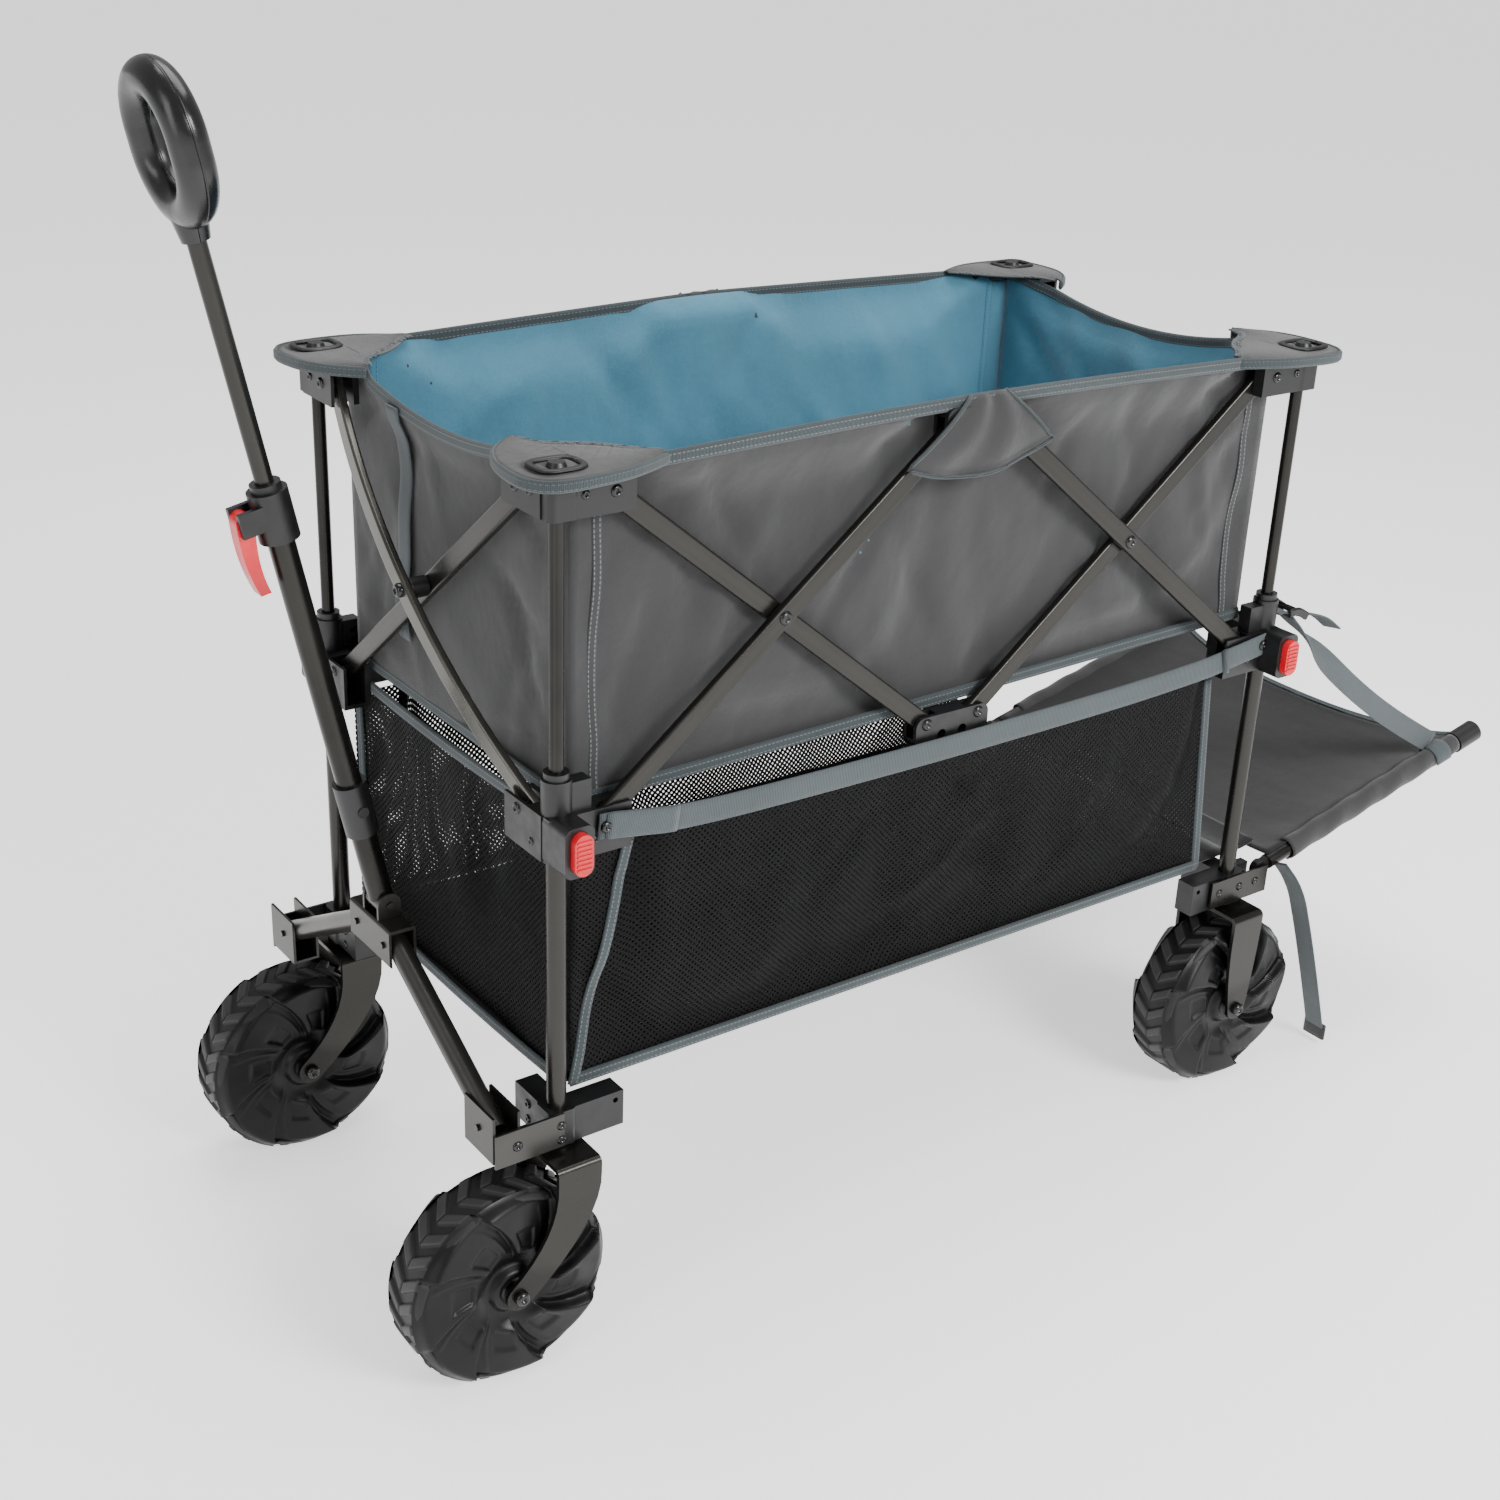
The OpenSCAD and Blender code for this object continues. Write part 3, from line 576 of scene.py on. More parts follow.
def ear(e, s, name, body, finish, binding, plastic_finish):
    """The cloth corner that lies on an upper bracket, with its grommet round the bracket's knob."""
    def place(points, z):
        p = smooth_path([(a, b, 0) for a, b in points], 0.004)
        return np.stack([e * (HX - p[:, 0]), s * (HY - p[:, 1]), np.full(len(p), z)], 1)
    n = 44
    def even(p):
        return p[np.linspace(0, len(p) - 1, n).round().astype(int)]
    inner, outer = even(place(EAR_IN, 0.7975)), even(place(EAR_OUT, 0.7955))
    t = np.linspace(0, 1, 12)[None, :, None]
    g = inner[:, None] * (1 - t) + outer[:, None] * t
    wave = 0.0016 * np.sin(np.linspace(0, 9, n))[:, None] * t[..., 0] * (1.4 - t[..., 0])
    g[..., 2] += 0.0022 * np.sin(math.pi * t[..., 0]) + wave
    if grid_normals(g)[n // 2, 5, 2] < 0:
        g = g[::-1]
    thick_sheet(f"ear_{name}", g, 0.0018, finish, body)
    edge = g[:, -1]
    tape(f"ear_binding_{name}", edge + [0, 0, -0.0026], (0, 0, 1), 0.0095, 0.0042, binding, body)
    inside = g[:, 0]
    sideways = np.cross(np.gradient(inside, axis=0), [0, 0, 1])
    tape(f"ear_seam_{name}", inside + [0, 0, 0.0008], sideways, 0.008, 0.0016, binding, body)
    ring = []
    for k in range(40):
        a = 2 * math.pi * k / 40
        c, d = math.cos(a), math.sin(a)
        r = 1 / (abs(c / 0.021) ** 3.5 + abs(d / 0.0165) ** 3.5) ** (1 / 3.5)
        ring.append((e * HX + r * c * 0.9, s * HY + r * d * 0.95, 0.7995))
    ring.append(ring[0])
    path = np.array(ring)
    outward = (path - [e * HX, s * HY, 0]) * [1, 1, 0]
    tape(f"grommet_{name}", path, outward, 0.0062, 0.0032, plastic_finish, body)


def flap(s, body, finish, binding):
    """The half-round flap that covers an upper centre bracket, sewn on under the rim."""
    n, m = 41, 16
    u = np.linspace(-1, 1, n)
    x_low = 0.0795 * u
    low = np.stack([x_low - 0.0025, -0.2215 + 0.004 * u ** 2, 0.7385 + 0.0165 * u ** 2 + 0.004 * u], 1)
    high = np.stack([0.004 + 0.020 * u, np.full(n, -0.2125), np.full(n, 0.8055)], 1)
    t = np.linspace(0, 1, m)[None, :, None]
    g = high[:, None] * (1 - t) + low[:, None] * t
    swell = np.sin(math.pi * np.clip(t[..., 0] * 1.1, 0, 1)) ** 0.8
    g[..., 1] -= 0.0085 * swell * (1 - 0.25 * u[:, None] ** 2)
    g[..., 1] += 0.0016 * np.sin(7 * u[:, None] + 4 * t[..., 0])
    side = "left" if s < 0 else "right"
    if s > 0:
        g = g[::-1] * np.array([1, -1, 1])
    if grid_normals(g)[n // 2, m // 2, 1] * s < 0:
        g = g[::-1]
    thick_sheet(f"flap_{side}", g, 0.002, finish, body)
    edge = np.concatenate([g[0], g[1:, -1], g[-1, -2::-1]]) + [0, s * 0.0012, 0]
    tape(f"flap_seam_{side}", edge, (0, -0.3 * s, 1), 0.0035, 0.0022, binding, body)


def deck_side(s):
    x0 = np.linspace(0, 1, 89)
    t = np.linspace(0, 1, 27)
    uu, tt = np.meshgrid(x0, t, indexing="ij")
    xx = (-0.388) * (1 - uu) + (0.351 + 0.020 * tt) * uu
    a = np.abs(xx)
    top = 0.484 - 0.014 * step((a - 0.325) / 0.02)
    z = top + (DECK_Z - top) * tt
    y = -0.1925 - 0.0185 * step((0.345 - a) / 0.04) * (1 - step(tt / 0.85))
    g = np.stack([xx, y, z], 2)
    pinned = np.zeros(xx.shape, bool)
    pinned[:, 0] = pinned[:, -1] = pinned[0] = pinned[-1] = True
    g = creases(simulate(g, pinned, grow=0.035, seed=21 + s, limit=0.012), 1, 70 + s, 18)
    g[..., 1] = np.minimum(np.maximum(g[..., 1], y - 0.009), y + 0.02)
    return g[::-1] if s < 0 else g * np.array([1, -1, 1])


def deck_front():
    y = np.linspace(-0.189, 0.189, 47)
    t = np.linspace(0, 1, 27)
    yy, tt = np.meshgrid(y, t, indexing="ij")
    z = 0.497 - 0.006 * (1 - (yy / 0.189) ** 2) + (DECK_Z - 0.497) * tt
    g = np.stack([np.full(yy.shape, -0.3925), yy, z], 2)
    pinned = np.zeros(yy.shape, bool)
    pinned[:, 0] = pinned[:, -1] = pinned[0] = pinned[-1] = True
    g = simulate(g, pinned, grow=0.04, seed=31, limit=0.012)
    g[..., 0] = np.minimum(np.maximum(g[..., 0], -0.397), -0.375)
    return g


GATE = np.array([0.448, -0.212, 0.238])  # hinge of the left tailgate arm
RISE = math.radians(13.5)                # of the open tailgate from level


def gate_point(out, in_y, up):
    """A point by the left tailgate arm's hinge: along the arm, inwards and square off the panel."""
    c, s = math.cos(RISE), math.sin(RISE)
    x, y, z = GATE[0] + out * c - up * s, GATE[1] + in_y, GATE[2] + out * s + up * c
    return np.stack(np.broadcast_arrays(x, y, z), -1)


def gate_sheet():
    v = np.linspace(0, 1, 49)
    u = np.linspace(0, 1, 41)
    uu, vv = np.meshgrid(u, v, indexing="ij")
    across = vv * 0.424
    middle = 1 - np.abs(2 * vv - 1) ** 2.4
    out = 0.016 + uu * (0.326 - 0.040 * middle - 0.016)
    up = 0.0085 - 0.0105 * middle * np.sin(math.pi * np.clip(0.12 + uu * 0.88, 0, 1)) ** 0.6
    g = gate_point(out, across, up)
    pinned = np.zeros(uu.shape, bool)
    pinned[0] = pinned[:, 0] = pinned[:, -1] = True
    h = simulate(g, pinned, grow=0.02, seed=41, limit=0.008)
    if grid_normals(h)[20, 24, 2] < 0:
        h = h[::-1]
    return h


# --- The scene ---

set_camera()

floor_finish = Finish("floor", 0.9, 0.0, 0.1)
floor_finish.colour((0.93, 0.93, 0.93))
floor_finish.bsdf.inputs["Emission Color"].default_value = (1, 1, 1, 1)
floor_finish.bsdf.inputs["Emission Strength"].default_value = 0.9
floor_finish.bump((floor_finish.noise(3, 2), 0.0005))
mesh = bpy.data.meshes.new("floor")
mesh.from_pydata([(-60, -60, 0), (60, -60, 0), (60, 60, 0), (-60, 60, 0)], [], [(0, 1, 2, 3)])
mesh.materials.append(floor_finish.mat)
ground = bpy.data.objects.new("floor", mesh)
bpy.context.scene.collection.objects.link(ground)

world = bpy.data.worlds.new("studio")
world.use_nodes = True
world.node_tree.nodes["Background"].inputs[0].default_value = (1, 1, 1, 1)
world.node_tree.nodes["Background"].inputs[1].default_value = 0.55
bpy.context.scene.world = world
area_light("key", (0.5, -3.2, 2.3), (0, 0, 0.4), (1.5, 1.1), 150)
area_light("fill", (-3.0, -0.8, 1.6), (0, 0, 0.4), (1.0, 2.0), 22)
area_light("top", (0.3, 0.4, 3.0), (0, 0, 0.4), (2.4, 1.6), 62)

# The hanging strap comes first: it repeats the route of the CAD solid that it replaces.
along = np.linspace(0, 1, 17)
STRAP_ROUTE = np.stack([0.470 + 0.090 * along ** 0.85, -0.236 + 0.0134 * np.maximum(0, 1 - 5 * along) ** 2,
                        0.242 - 0.226 * along], 1)

STEEL_TONE, BRIGHT_TONE = srgb("292826"), srgb("383735")
webbing = ribbed("webbing", SLATE)
dark_webbing = ribbed("dark_webbing", srgb("2c3437"))
binding = ribbed("binding", srgb("313a3d"), 0.0013, stitch=(0.0030, THREAD))
grey_cloth = woven("grey_cloth", GREY)
lining_cloth = woven("lining_cloth", LINING, crease=1.6)
seam_cloth = woven("seam_cloth", GREY, stitch=(1, 0.0028, THREAD))
lining_seam = woven("lining_seam", LINING, stitch=(1, 0.0028, srgb("2d5c74")))
charcoal = woven("charcoal", srgb("111113"), crease=0.5)
mesh_cloth = open_mesh("mesh_cloth", srgb("050506"))
black = plastic("black_plastic", BLACK, 0.42)
screw_black = plastic("screw_black", srgb("0d0d0e"), 0.22, 0.00002)
red = plastic("red_plastic", srgb("c40a1c"), 0.3, 0.00003)
red.node_tree.nodes["Principled BSDF"].inputs["Subsurface Weight"].default_value = 0.05
steel = painted_metal("painted_steel", STEEL_TONE, 0.27)
bright = painted_metal("bright_steel", BRIGHT_TONE, 0.30)


def near_crossing(f):
    """Mask of the black spacer between the two bars of an end."""
    x, y, z = f.parts(f.object)
    lift = f.math("SUBTRACT", z, (HIGH + LOW) / 2)
    away = f.math("SQRT", f.math("ADD", f.math("POWER", y, 2), f.math("POWER", lift, 2)))
    off = f.math("SUBTRACT", f.math("ABSOLUTE", f.math("SUBTRACT", x, float(SHIFT[0]))), HX + 0.0118)
    in_disc = f.between(away, 0.0092, 0.0095, 1, 0)
    return f.math("MULTIPLY", in_disc, f.between(f.math("ABSOLUTE", off), 0.0077, 0.0079, 1, 0))


def along_handle(f, low, high):
    """Mask of a stretch of the handle, measured from its hinge."""
    moved = f.vector("SUBTRACT", f.object, tuple(float(v) for v in HANDLE_FOOT))
    s = f.vector("DOT_PRODUCT", moved, HANDLE_WAY)
    return f.math("MULTIPLY", f.between(s, low, low + 0.0003), f.between(s, high, high + 0.0003, 1, 0))


def above_bracket(f):
    return f.between(f.parts(f.object)[2], 0.7588, 0.7590)


def arm_end(f):
    moved = f.vector("SUBTRACT", f.object, tuple(float(v) for v in GATE * [1, 0, 1] + SHIFT))
    s = f.vector("DOT_PRODUCT", moved, (math.cos(RISE), 0, math.sin(RISE)))
    return f.between(s, 0.3158, 0.316)


def grip_seam(f):
    """Distance from the plane where the grip's two shells meet."""
    moved = f.vector("SUBTRACT", f.object, tuple(float(v) for v in HANDLE_FOOT))
    return f.math("ABSOLUTE", f.vector("DOT_PRODUCT", moved, (math.cos(LEAN), 0, math.sin(LEAN))))


finishes = {"painted_steel": steel, "bright_steel": bright, "red_plastic": red, "black_plastic": black,
            "wheel_plastic": black}
split = {"corner_upright": painted_metal("upright", STEEL_TONE, 0.27, above_bracket),
         "handle_tube": painted_metal("handle_tube", STEEL_TONE, 0.27, lambda f: along_handle(f, *SLEEVE)),
         "tailgate_arm": painted_metal("arm", STEEL_TONE, 0.27, arm_end),
         "front_bar_1": painted_metal("bowed_bar", srgb("55544f"), 0.24, near_crossing),
         "grip": plastic("grip_plastic", srgb("0a0a0b"), 0.26, 0.00003, grip_seam)}
split["rear_bar_1"] = split["front_bar_1"]
slot_of = {p["node"]: p["material_slot"] for p in frame["record"]["subparts"]}
for name, node in frame["nodes"].items():
    chosen = next((m for k, m in split.items() if name.startswith(k)), finishes.get(slot_of[name]))
    if chosen:
        node.data.materials.clear()
        node.data.materials.append(chosen)


def bind(name, path, thick, body):
    """Binding tape on an edge of cloth that folds with the frame."""
    return fold_along(tape(name, path, (0, 0, 1), BINDING, thick, binding, body))


# --- Hanging strap ---

route = smooth_path(STRAP_ROUTE, 0.003)
strap = tape("closure_strap_webbing", route, (0, 1, 0), 0.0245, 0.0016, webbing, "tailgate_left")
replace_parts(strap, "closure_strap")
tip = route[-1]
tab_path = tip + np.array([[0, 0, z] for z in (0.008, 0.003, -0.004, -0.009)])
tab = tape("strap_tab", tab_path, (0, 1, 0), 0.029, 0.0046, black, "tailgate_left")

# --- Basket ---

for side, s in SIDES.items():
    body = f"top_front_{side}"
    g = basket_side(s)
    wall = thick_sheet(f"basket_{side}", g, 0.002, [grey_cloth, lining_cloth], body)
    if side == "left":
        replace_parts(wall, "basket")
    fold_along(wall)
    rim = g[:, 0]
    bind(f"basket_rim_{side}", rim + [0, 0, -0.0035], 0.0046, body)
    hem = g[:, -1]
    bind(f"basket_hem_{side}", hem + [0, s * 0.0012, 0.0035], 0.0042, body)
    for k in (3, -4):
        seam = g[k]
        out = seam + [0, s * 0.0014, 0]
        fold_along(tape(f"basket_seam_{side}_{k % 7}", out[2:], (1, 0, 0), 0.0085, 0.0011, seam_cloth, body))
        inner = tape(f"lining_seam_{side}_{k % 7}", (seam - [0, s * 0.0014, 0])[2:], (1, 0, 0), 0.0085,
                     0.0011, lining_seam, body)
        fold_along(inner)
    flap(s, f"centre_top_{side}", grey_cloth, binding)

for end, e in ENDS.items():
    body = f"top_{end}_left"
    g = basket_end(e)
    wall = thick_sheet(f"basket_{end}", g, 0.002, [grey_cloth, lining_cloth], body)
    fold_along(wall)
    bind(f"basket_rim_{end}", g[:, 0] + [0, 0, -0.0035], 0.0046, body)
    bind(f"basket_hem_{end}", g[:, -1] + [e * 0.0012, 0, 0.0035], 0.0042, body)
    if end == "front":
        near = int(np.argmin(np.abs(g[:, 0, 1] - 0.075)))
        line = g[near, 1:26] + [-0.0055, 0, 0]
        fold_along(tape("front_strap", line, (0, 1, 0), 0.022, 0.0017, webbing, body))

for end, e in ENDS.items():
    for side, s in SIDES.items():
        ear(e, s, f"{end}_{side}", f"top_{end}_{side}", grey_cloth, binding, black)


def floor_strip(name, x0, x1, z, mats, body):
    """A piece of floor from side to side. The pieces slide over each other as the cart folds."""
    x, y = np.linspace(x0, x1, 24), np.linspace(-BASKET_Y, BASKET_Y, 32)
    xx, yy = np.meshgrid(x, y, indexing="ij")
    dip = 0.0012 + 0.0012 * np.sin(xx * 41) * np.cos(yy * 37)
    obj = thick_sheet(name, np.stack([xx, yy, z(xx) - dip], 2), 0.0024, mats, body)
    return fold_along(obj)


for where, x0, x1, body in (("front", -0.386, -0.128, "top_front_left"),
                            ("middle", -0.130, 0.130, "centre_top_left"),
                            ("rear", 0.128, 0.386, "top_rear_left")):
    cloths = [lining_cloth, grey_cloth]
    floor_strip(f"basket_floor_{where}", x0, x1, basket_bottom, cloths, body)
for where, x0, x1, body in (("front", -0.392, -0.118, "front_left"),
                            ("middle", -0.120, 0.154, "centre_bottom_left"),
                            ("rear", 0.152, 0.428, "rear_left")):
    floor_strip(f"deck_floor_{where}", x0, x1, deck_bottom, [charcoal], body)

# --- Lower deck ---

for side, s in SIDES.items():
    body = f"front_{side}"
    g = deck_side(s)
    wall = thick_sheet(f"deck_{side}", g, 0.0012, mesh_cloth, body)
    if side == "left":
        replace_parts(wall, "lower_deck")
    fold_along(wall)
    bind(f"deck_hem_{side}", g[:, -1] + [0, s * 0.001, 0.003], 0.0038, body)
    rear = g[0 if g[0, 0, 0] > 0 else -1]
    fold_along(tape(f"deck_rear_seam_{side}", rear, (1, 0, 0), 0.011, 0.0038, binding, body))
    order = g if g[0, 0, 0] < 0 else g[::-1]
    rows = np.arange(g.shape[1])
    want = -0.334 - 0.052 * rows / rows[-1]
    seam = np.array([[np.interp(want[j], order[:, j, 0], order[:, j, k]) for k in range(3)] for j in rows])
    seam = seam + [0, s * 0.0018, 0]
    fold_along(tape(f"deck_seam_{side}", seam, (1, 0, 0), 0.0105, 0.0028, binding, body))
    belt = [(-0.378, 0.2195, 0.502), (-0.362, 0.2195, 0.5005), (-0.335, 0.2190, 0.496),
            (-0.29, 0.2155, 0.4885), (-0.2, 0.2135, 0.4845), (0, 0.2135, 0.4835), (0.2, 0.2135, 0.486),
            (0.31, 0.2155, 0.492), (0.352, 0.2190, 0.499), (0.385, 0.2195, 0.5035), (0.398, 0.2195, 0.505)]
    belt = smooth_path([(x, s * y, z) for x, y, z in belt], 0.006)
    fold_along(tape(f"belt_{side}", belt, (0, 0, 1), 0.0225, 0.0019, webbing, body))
    doubled = belt[(belt[:, 0] > -0.376) & (belt[:, 0] < -0.300)] + [0, s * 0.0020, 0]
    fold_along(tape(f"belt_end_{side}", doubled, (0, 0, 1), 0.0228, 0.0019, webbing, body))
    loop = belt[(belt[:, 0] > 0.334) & (belt[:, 0] < 0.348)] + [0, s * 0.0020, 0]
    fold_along(tape(f"belt_loop_{side}", loop, (0, 0, 1), 0.0265, 0.0026, dark_webbing, body))
    heads = [((-0.372, s * 0.2215, 0.5015), (0, s, 0), 0.0052)]
    screws(f"belt_screw_front_{side}", heads, screw_black, f"front_{side}")
    heads = [((0.393, s * 0.2215, 0.5045), (0, s, 0), 0.0052)]
    screws(f"belt_screw_rear_{side}", heads, screw_black, f"rear_{side}")

g = deck_front()
wall = thick_sheet("deck_front", g, 0.0012, mesh_cloth, "front_left")
fold_along(wall)
bind("deck_hem_front", g[:, -1] + [-0.001, 0, 0.003], 0.0038, "front_left")
bind("deck_top_front", g[:, 0] + [-0.001, 0, -0.002], 0.0038, "front_left")
far_edge = g[-2] + [-0.001, 0, 0]
fold_along(tape("deck_far_seam", far_edge, (0, 1, 0), 0.011, 0.0034, binding, "front_left"))

# --- Tailgate ---

g = gate_sheet()
panel = thick_sheet("tailgate_cloth", g, 0.0024, charcoal, "tailgate_left")
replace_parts(panel, "tailgate_panel")
fold_along(panel)
last = g[-1] if g[-1, 0, 0] > g[0, 0, 0] else g[0]
fold_along(tape("tailgate_piping", last, (0, 0, 1), 0.0075, 0.0075, binding, "tailgate_left"))

for side, s in SIDES.items():
    s0, ring = np.linspace(0.045, 0.314, 70), np.linspace(0, 2 * math.pi, 25)
    ss, aa = np.meshgrid(s0, ring, indexing="ij")
    r = 0.0102 + 0.0006 * np.sin(ss * 130 + 2 * aa) + 0.0012 * np.maximum(0, np.sin(aa)) ** 2
    sleeve = gate_point(ss, r * np.cos(aa), r * np.sin(aa))
    if s > 0:
        sleeve = sleeve[::-1] * np.array([1, -1, 1])
    c = sleeve.mean(axis=1, keepdims=True)
    if np.sum(grid_normals(sleeve) * (sleeve - c)) < 0:
        sleeve = sleeve[::-1]
    thick_sheet(f"arm_sleeve_{side}", sleeve, 0.0014, grey_cloth, f"tailgate_{side}")
    low = gate_point(s0, 0 * s0, 0 * s0 - 0.0118) * [1, -s, 1]
    tape(f"sleeve_piping_{side}", low, (0, 1, 0), 0.0052, 0.0042, binding, f"tailgate_{side}")

    # support strap from the slider block to the arm, through its cam buckle
    a = np.array([0.4395, -0.204, 0.5235])
    b = gate_point(0.285, 0.006, 0.0135)
    t = np.linspace(0, 1, 60)[:, None]
    line = (a * (1 - t) + b * t + np.array([0, 0, -0.014]) * np.sin(math.pi * t)) * [1, -s, 1]
    twist = step(t / 0.35)
    face = np.array([0, 1, 0]) * (1 - twist) + np.array([0.6, 0, 0.8]) * twist
    strap = tape(f"support_strap_{side}", line, face, WEBBING, 0.0017, webbing)
    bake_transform(strap)
    turns = np.linspace(-0.2, 3.4, 22)
    wrap = [gate_point(0.285, 0.0135 * math.cos(k), 0.0135 * math.sin(k)) * [1, -s, 1] for k in turns]
    arm_way = np.array([math.cos(RISE), 0, math.sin(RISE)])
    tape(f"strap_anchor_{side}", wrap, arm_way, WEBBING, 0.0017, webbing, f"tailgate_{side}")
    lead = [(0.418, -0.204, 0.5300), (0.430, -0.204, 0.5300), (0.4400, -0.204, 0.5245)]
    lead = smooth_path(lead, 0.002) * [1, -s, 1]
    tape(f"strap_lead_{side}", lead, (0, 1, 0), WEBBING, 0.0017, webbing, f"rear_{side}")
    tail = [(0.452, -0.204, 0.5205), (0.470, -0.206, 0.5195), (0.490, -0.209, 0.5120),
            (0.508, -0.212, 0.4985)]
    tail = smooth_path(tail, 0.003) * [1, -s, 1]
    tape(f"strap_tail_{side}", tail, (0, 1, 0.15 * s), WEBBING, 0.0017, webbing, f"rear_{side}")
    for k, (x, z, w, h) in enumerate([(0.4350, 0.5315, 0.031, 0.0046), (0.4435, 0.5290, 0.031, 0.0052),
                                      (0.4520, 0.5245, 0.031, 0.0046)]):
        bar = [(x, -0.204 - w / 2, z), (x, -0.204, z + 0.0007), (x, -0.204 + w / 2, z)]
        bar = smooth_path(bar, 0.003) * [1, -s, 1]
        tape(f"buckle_{side}_{k}", bar, (1, 0, -0.4), 0.0052, h, black, f"rear_{side}")
    for k in (-1, 1):
        cheek = smooth_path([(0.429, -0.204 + k * 0.0150, 0.5300), (0.442, -0.204 + k * 0.0150, 0.5300),
                             (0.456, -0.204 + k * 0.0150, 0.5225)], 0.002) * [1, -s, 1]
        tape(f"buckle_cheek_{side}_{k + 1}", cheek, (0, 0, 1), 0.0085, 0.0034, black, f"rear_{side}")

yy, kk = np.meshgrid(np.linspace(-0.186, 0.186, 32), np.linspace(0, 1, 14), indexing="ij")
hinge = np.stack([0.426 + 0.042 * kk, yy, 0.2508 - 0.0025 * np.sin(math.pi * kk) + 0.0035 * kk], 2)
joint_cloth = thick_sheet("tailgate_joint_cloth", hinge[::-1], 0.0022, charcoal)
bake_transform(joint_cloth)


# --- Wheels ---

def wheel_mesh(name, hub, finish, tread, body, node):
    """A moulded wheel: stepped swirling faces, shallow pockets, a hub cone and a tread of raised chevrons."""
    verts, faces, slots = [], [], []
    lip = WHEEL_HALF - 0.0035
    n, m = 384, 44
    turn = np.linspace(0, 2 * math.pi, n, endpoint=False)
    for side in (-1, 1):
        r = np.r_[0.0045, np.linspace(0.008, 0.0925, m - 1)]
        tt, rr = np.meshgrid(turn, r, indexing="ij")
        swirl = (tt * side + 7.5 * (rr - 0.04)) * 8 / (2 * math.pi)
        part = swirl - np.floor(swirl)
        lobe = np.where(part < 0.045, part / 0.045, 1 - (part - 0.045) / 0.955 * 0.88)
        outer = step((rr - 0.030) / 0.012)
        face = lip - 0.0085 * step((rr - 0.083) / 0.010) - 0.0065 * (1 - step((rr - 0.024) / 0.02))
        depth = face + 0.0120 * (lobe - 0.6) * outer * (1 - 0.55 * step((rr - 0.084) / 0.009))
        pocket_r = np.abs(rr - 0.0505) / 0.0105
        pocket_t = np.abs(part - 0.40) / 0.23
        pocket = step((1.0 - np.maximum(pocket_r, pocket_t)) / 0.22)
        depth -= 0.0022 * pocket
        rib = np.exp(-((part - 0.80) / 0.03) ** 2) * step((rr - 0.034) / 0.006) * step((0.082 - rr) / 0.006)
        depth += 0.0010 * rib
        cone = step((0.0245 - rr) / 0.007)
        depth += cone * 0.0075 - 0.0024 * step((0.0125 - rr) / 0.002)
        x, z = rr * np.cos(tt), rr * np.sin(tt)
        g = np.stack([x, side * depth, z], 2)
        start = len(verts)
        verts += g.reshape(-1, 3).tolist()
        made = grid_faces(n, m, start, wrap=True, flip=side < 0)
        faces += made
        slots += [0] * len(made)
    w = np.linspace(-1, 1, 41)
    n2 = 560
    turn = np.linspace(0, 2 * math.pi, n2, endpoint=False)
    tt, ww = np.meshgrid(turn, w, indexing="ij")
    a = np.abs(ww)
    shoulder = step((a - 0.66) / 0.34)
    swirl = (tt * np.sign(ww) + 7.5 * (0.0925 - 0.04)) * 8 / (2 * math.pi)
    part = swirl - np.floor(swirl)
    lobe = np.where(part < 0.045, part / 0.045, 1 - (part - 0.045) / 0.955)
    base = WHEEL_R - 0.0034 - 0.0062 * shoulder ** 1.5 + 0.0020 * (lobe - 0.5) * step((a - 0.72) / 0.1)
    phase = tt * 26 / (2 * math.pi) + a * 0.95
    saw = np.abs(phase - np.floor(phase) - 0.5) * 2
    chevron = step((saw - 0.42) / 0.16) * step((0.70 - a) / 0.04) * (1 - 0.75 * step((0.035 - a) / 0.02))
    r = base + 0.0030 * chevron
    y = np.sign(ww) * np.minimum(a * lip, lip - 0.0085 * step((a - 0.9) / 0.1) * 0.9)
    g = np.stack([r * np.cos(tt), y, r * np.sin(tt)], 2)
    start = len(verts)
    verts += g.reshape(-1, 3).tolist()
    made = grid_faces(n2, 41, start, wrap=True)
    faces += made
    slots += [1] * len(made)
    obj = new_piece(name, np.array(verts) + hub, faces, [finish, tread], body, slots=slots)
    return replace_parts(obj, node)


def tread_with_painted_highlight(name, hub):
    f = Finish(name, 0.55, 0.0, 0.4)
    moved = f.vector("SUBTRACT", f.object, tuple(float(v) for v in hub + SHIFT))
    moved = f.vector("MULTIPLY", moved, (1, 0, 1))
    # Painted highlight: the tops of the chevrons are coloured a lighter grey than the black tread between
    # them.
    high = f.between(f.vector("LENGTH", moved), 0.0922, 0.0934)
    cloud = f.noise(40, 4)
    f.colour(f.mix(f.math("MULTIPLY", high, f.between(cloud, 0.2, 0.6, 0.55, 1)), BLACK, srgb("2b2b2c")))
    f.bump((cloud, 0.0003), (f.noise(1500, 3), 0.00008))
    return f.mat


wheel_plastic = plastic("wheel_plastic", srgb("060607"), 0.40, 0.00005)
wheel_plastic.node_tree.nodes["Principled BSDF"].inputs["Specular IOR Level"].default_value = 0.25
for end, e in ENDS.items():
    for side, s in SIDES.items():
        hub = np.array([e * HX - (AHEAD if e < 0 else 0), s * HY, WHEEL_R])
        tread = tread_with_painted_highlight(f"tread_{end}_{side}", hub)
        wheel = f"wheel_{end}_{side}"
        wheel_mesh(f"{wheel}_moulded", hub, wheel_plastic, tread, wheel, wheel)

# --- Screws and rivets ---

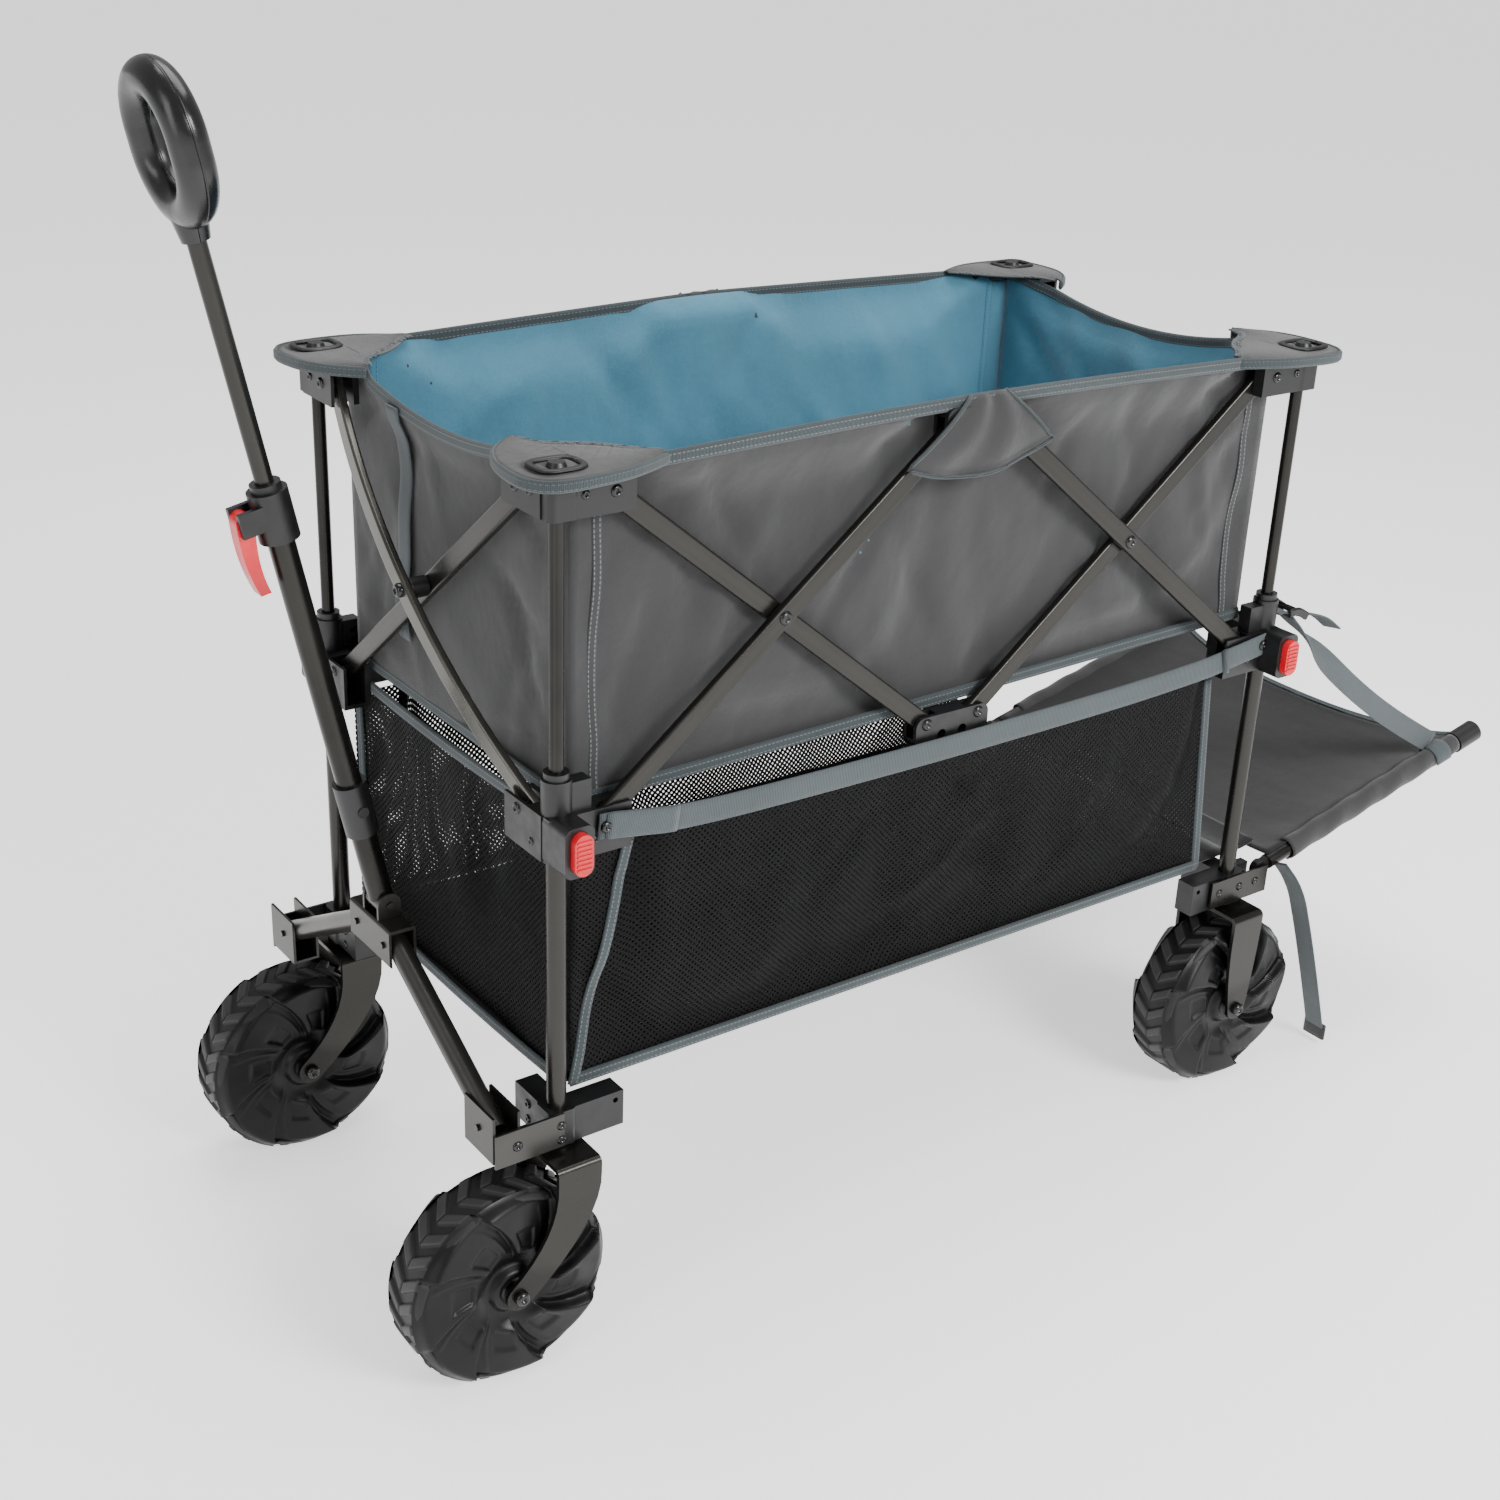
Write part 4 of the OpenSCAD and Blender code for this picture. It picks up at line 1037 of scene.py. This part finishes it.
for end, e in ENDS.items():
    for side, s in SIDES.items():
        name = f"{end}_{side}"

        def at(a, b, z, way, r):
            return ((e * (HX - a), s * (HY - b), z), (e * -way[0], s * -way[1], way[2]), r)
        screws(f"screws_top_{name}",
               [at(0.045, -0.0120, HIGH, (0, -1, 0), 0.0052),
                at(0.018, -0.0120, 0.777, (0, -1, 0), 0.0038),
                at(-0.0142, 0.0375, HIGH, (-1, 0, 0), 0.0052),
                at(-0.0142, 0.016, 0.777, (-1, 0, 0), 0.0038)],
               screw_black, f"top_{name}")
        screws(f"screws_slider_{name}",
               [at(-0.0142, 0.0375, LOW, (-1, 0, 0), 0.0052), at(-0.0142, 0.015, 0.488, (-1, 0, 0), 0.0036),
                at(0.029, -0.0120, 0.490, (0, -1, 0), 0.0036)], screw_black, name)
        low = [at(-0.0110, 0.028, 0.232, (-1, 0, 0), 0.0046), at(-0.0110, 0.028, 0.217, (-1, 0, 0), 0.0040)]
        if e < 0:
            clevis = ((-0.004, 0.232, 0.0042), (-0.004, 0.218, 0.0042), (-0.046, 0.227, 0.0048))
            low += [at(x, -0.0155, z, (0, -1, 0), r) for x, z, r in clevis]
        else:
            low += [at(x, -0.0155, 0.228, (0, -1, 0), 0.0046) for x in (-0.030, -0.006, 0.024)]
        screws(f"screws_low_{name}", low, screw_black, name)
        axle_x = e * HX - (AHEAD if e < 0 else 0)
        bolts = [((axle_x, s * HY + k * 0.0435, WHEEL_R), (0, k, 0), 0.0068) for k in (-1, 1)]
        screws(f"axle_bolt_{name}", bolts, screw_black, f"caster_{side}" if e < 0 else name)

for side, s in SIDES.items():
    for k, x in ((1, -0.2), (3, 0.2)):
        x = math.copysign((HX - 0.045 + 0.030) / 2, x)
        screws(f"crossing_{side}_{k}", [((x, s * (HY + 0.0088), (HIGH + LOW) / 2), (0, s, 0), 0.0062),
                                        ((x, s * (HY - 0.0088), (HIGH + LOW) / 2), (0, -s, 0), 0.0054)],
               screw_black, f"{side}_bar_{k}")
    for level, z in (("top", HIGH), ("bottom", LOW)):
        y = HY + (0.00475 if level == "top" else -0.00475)
        heads = [((k * 0.030, s * (y + 0.0088), z), (0, s, 0), 0.0056) for k in (-1, 1)]
        screws(f"centre_{level}_{side}_screws", heads, screw_black, f"centre_{level}_{side}")
for end, e in ENDS.items():
    head = ((e * (HX + 0.0302), 0, (HIGH + LOW) / 2), (e, 0, 0), 0.0062)
    screws(f"crossing_{end}", [head], screw_black, f"{end}_bar_1")
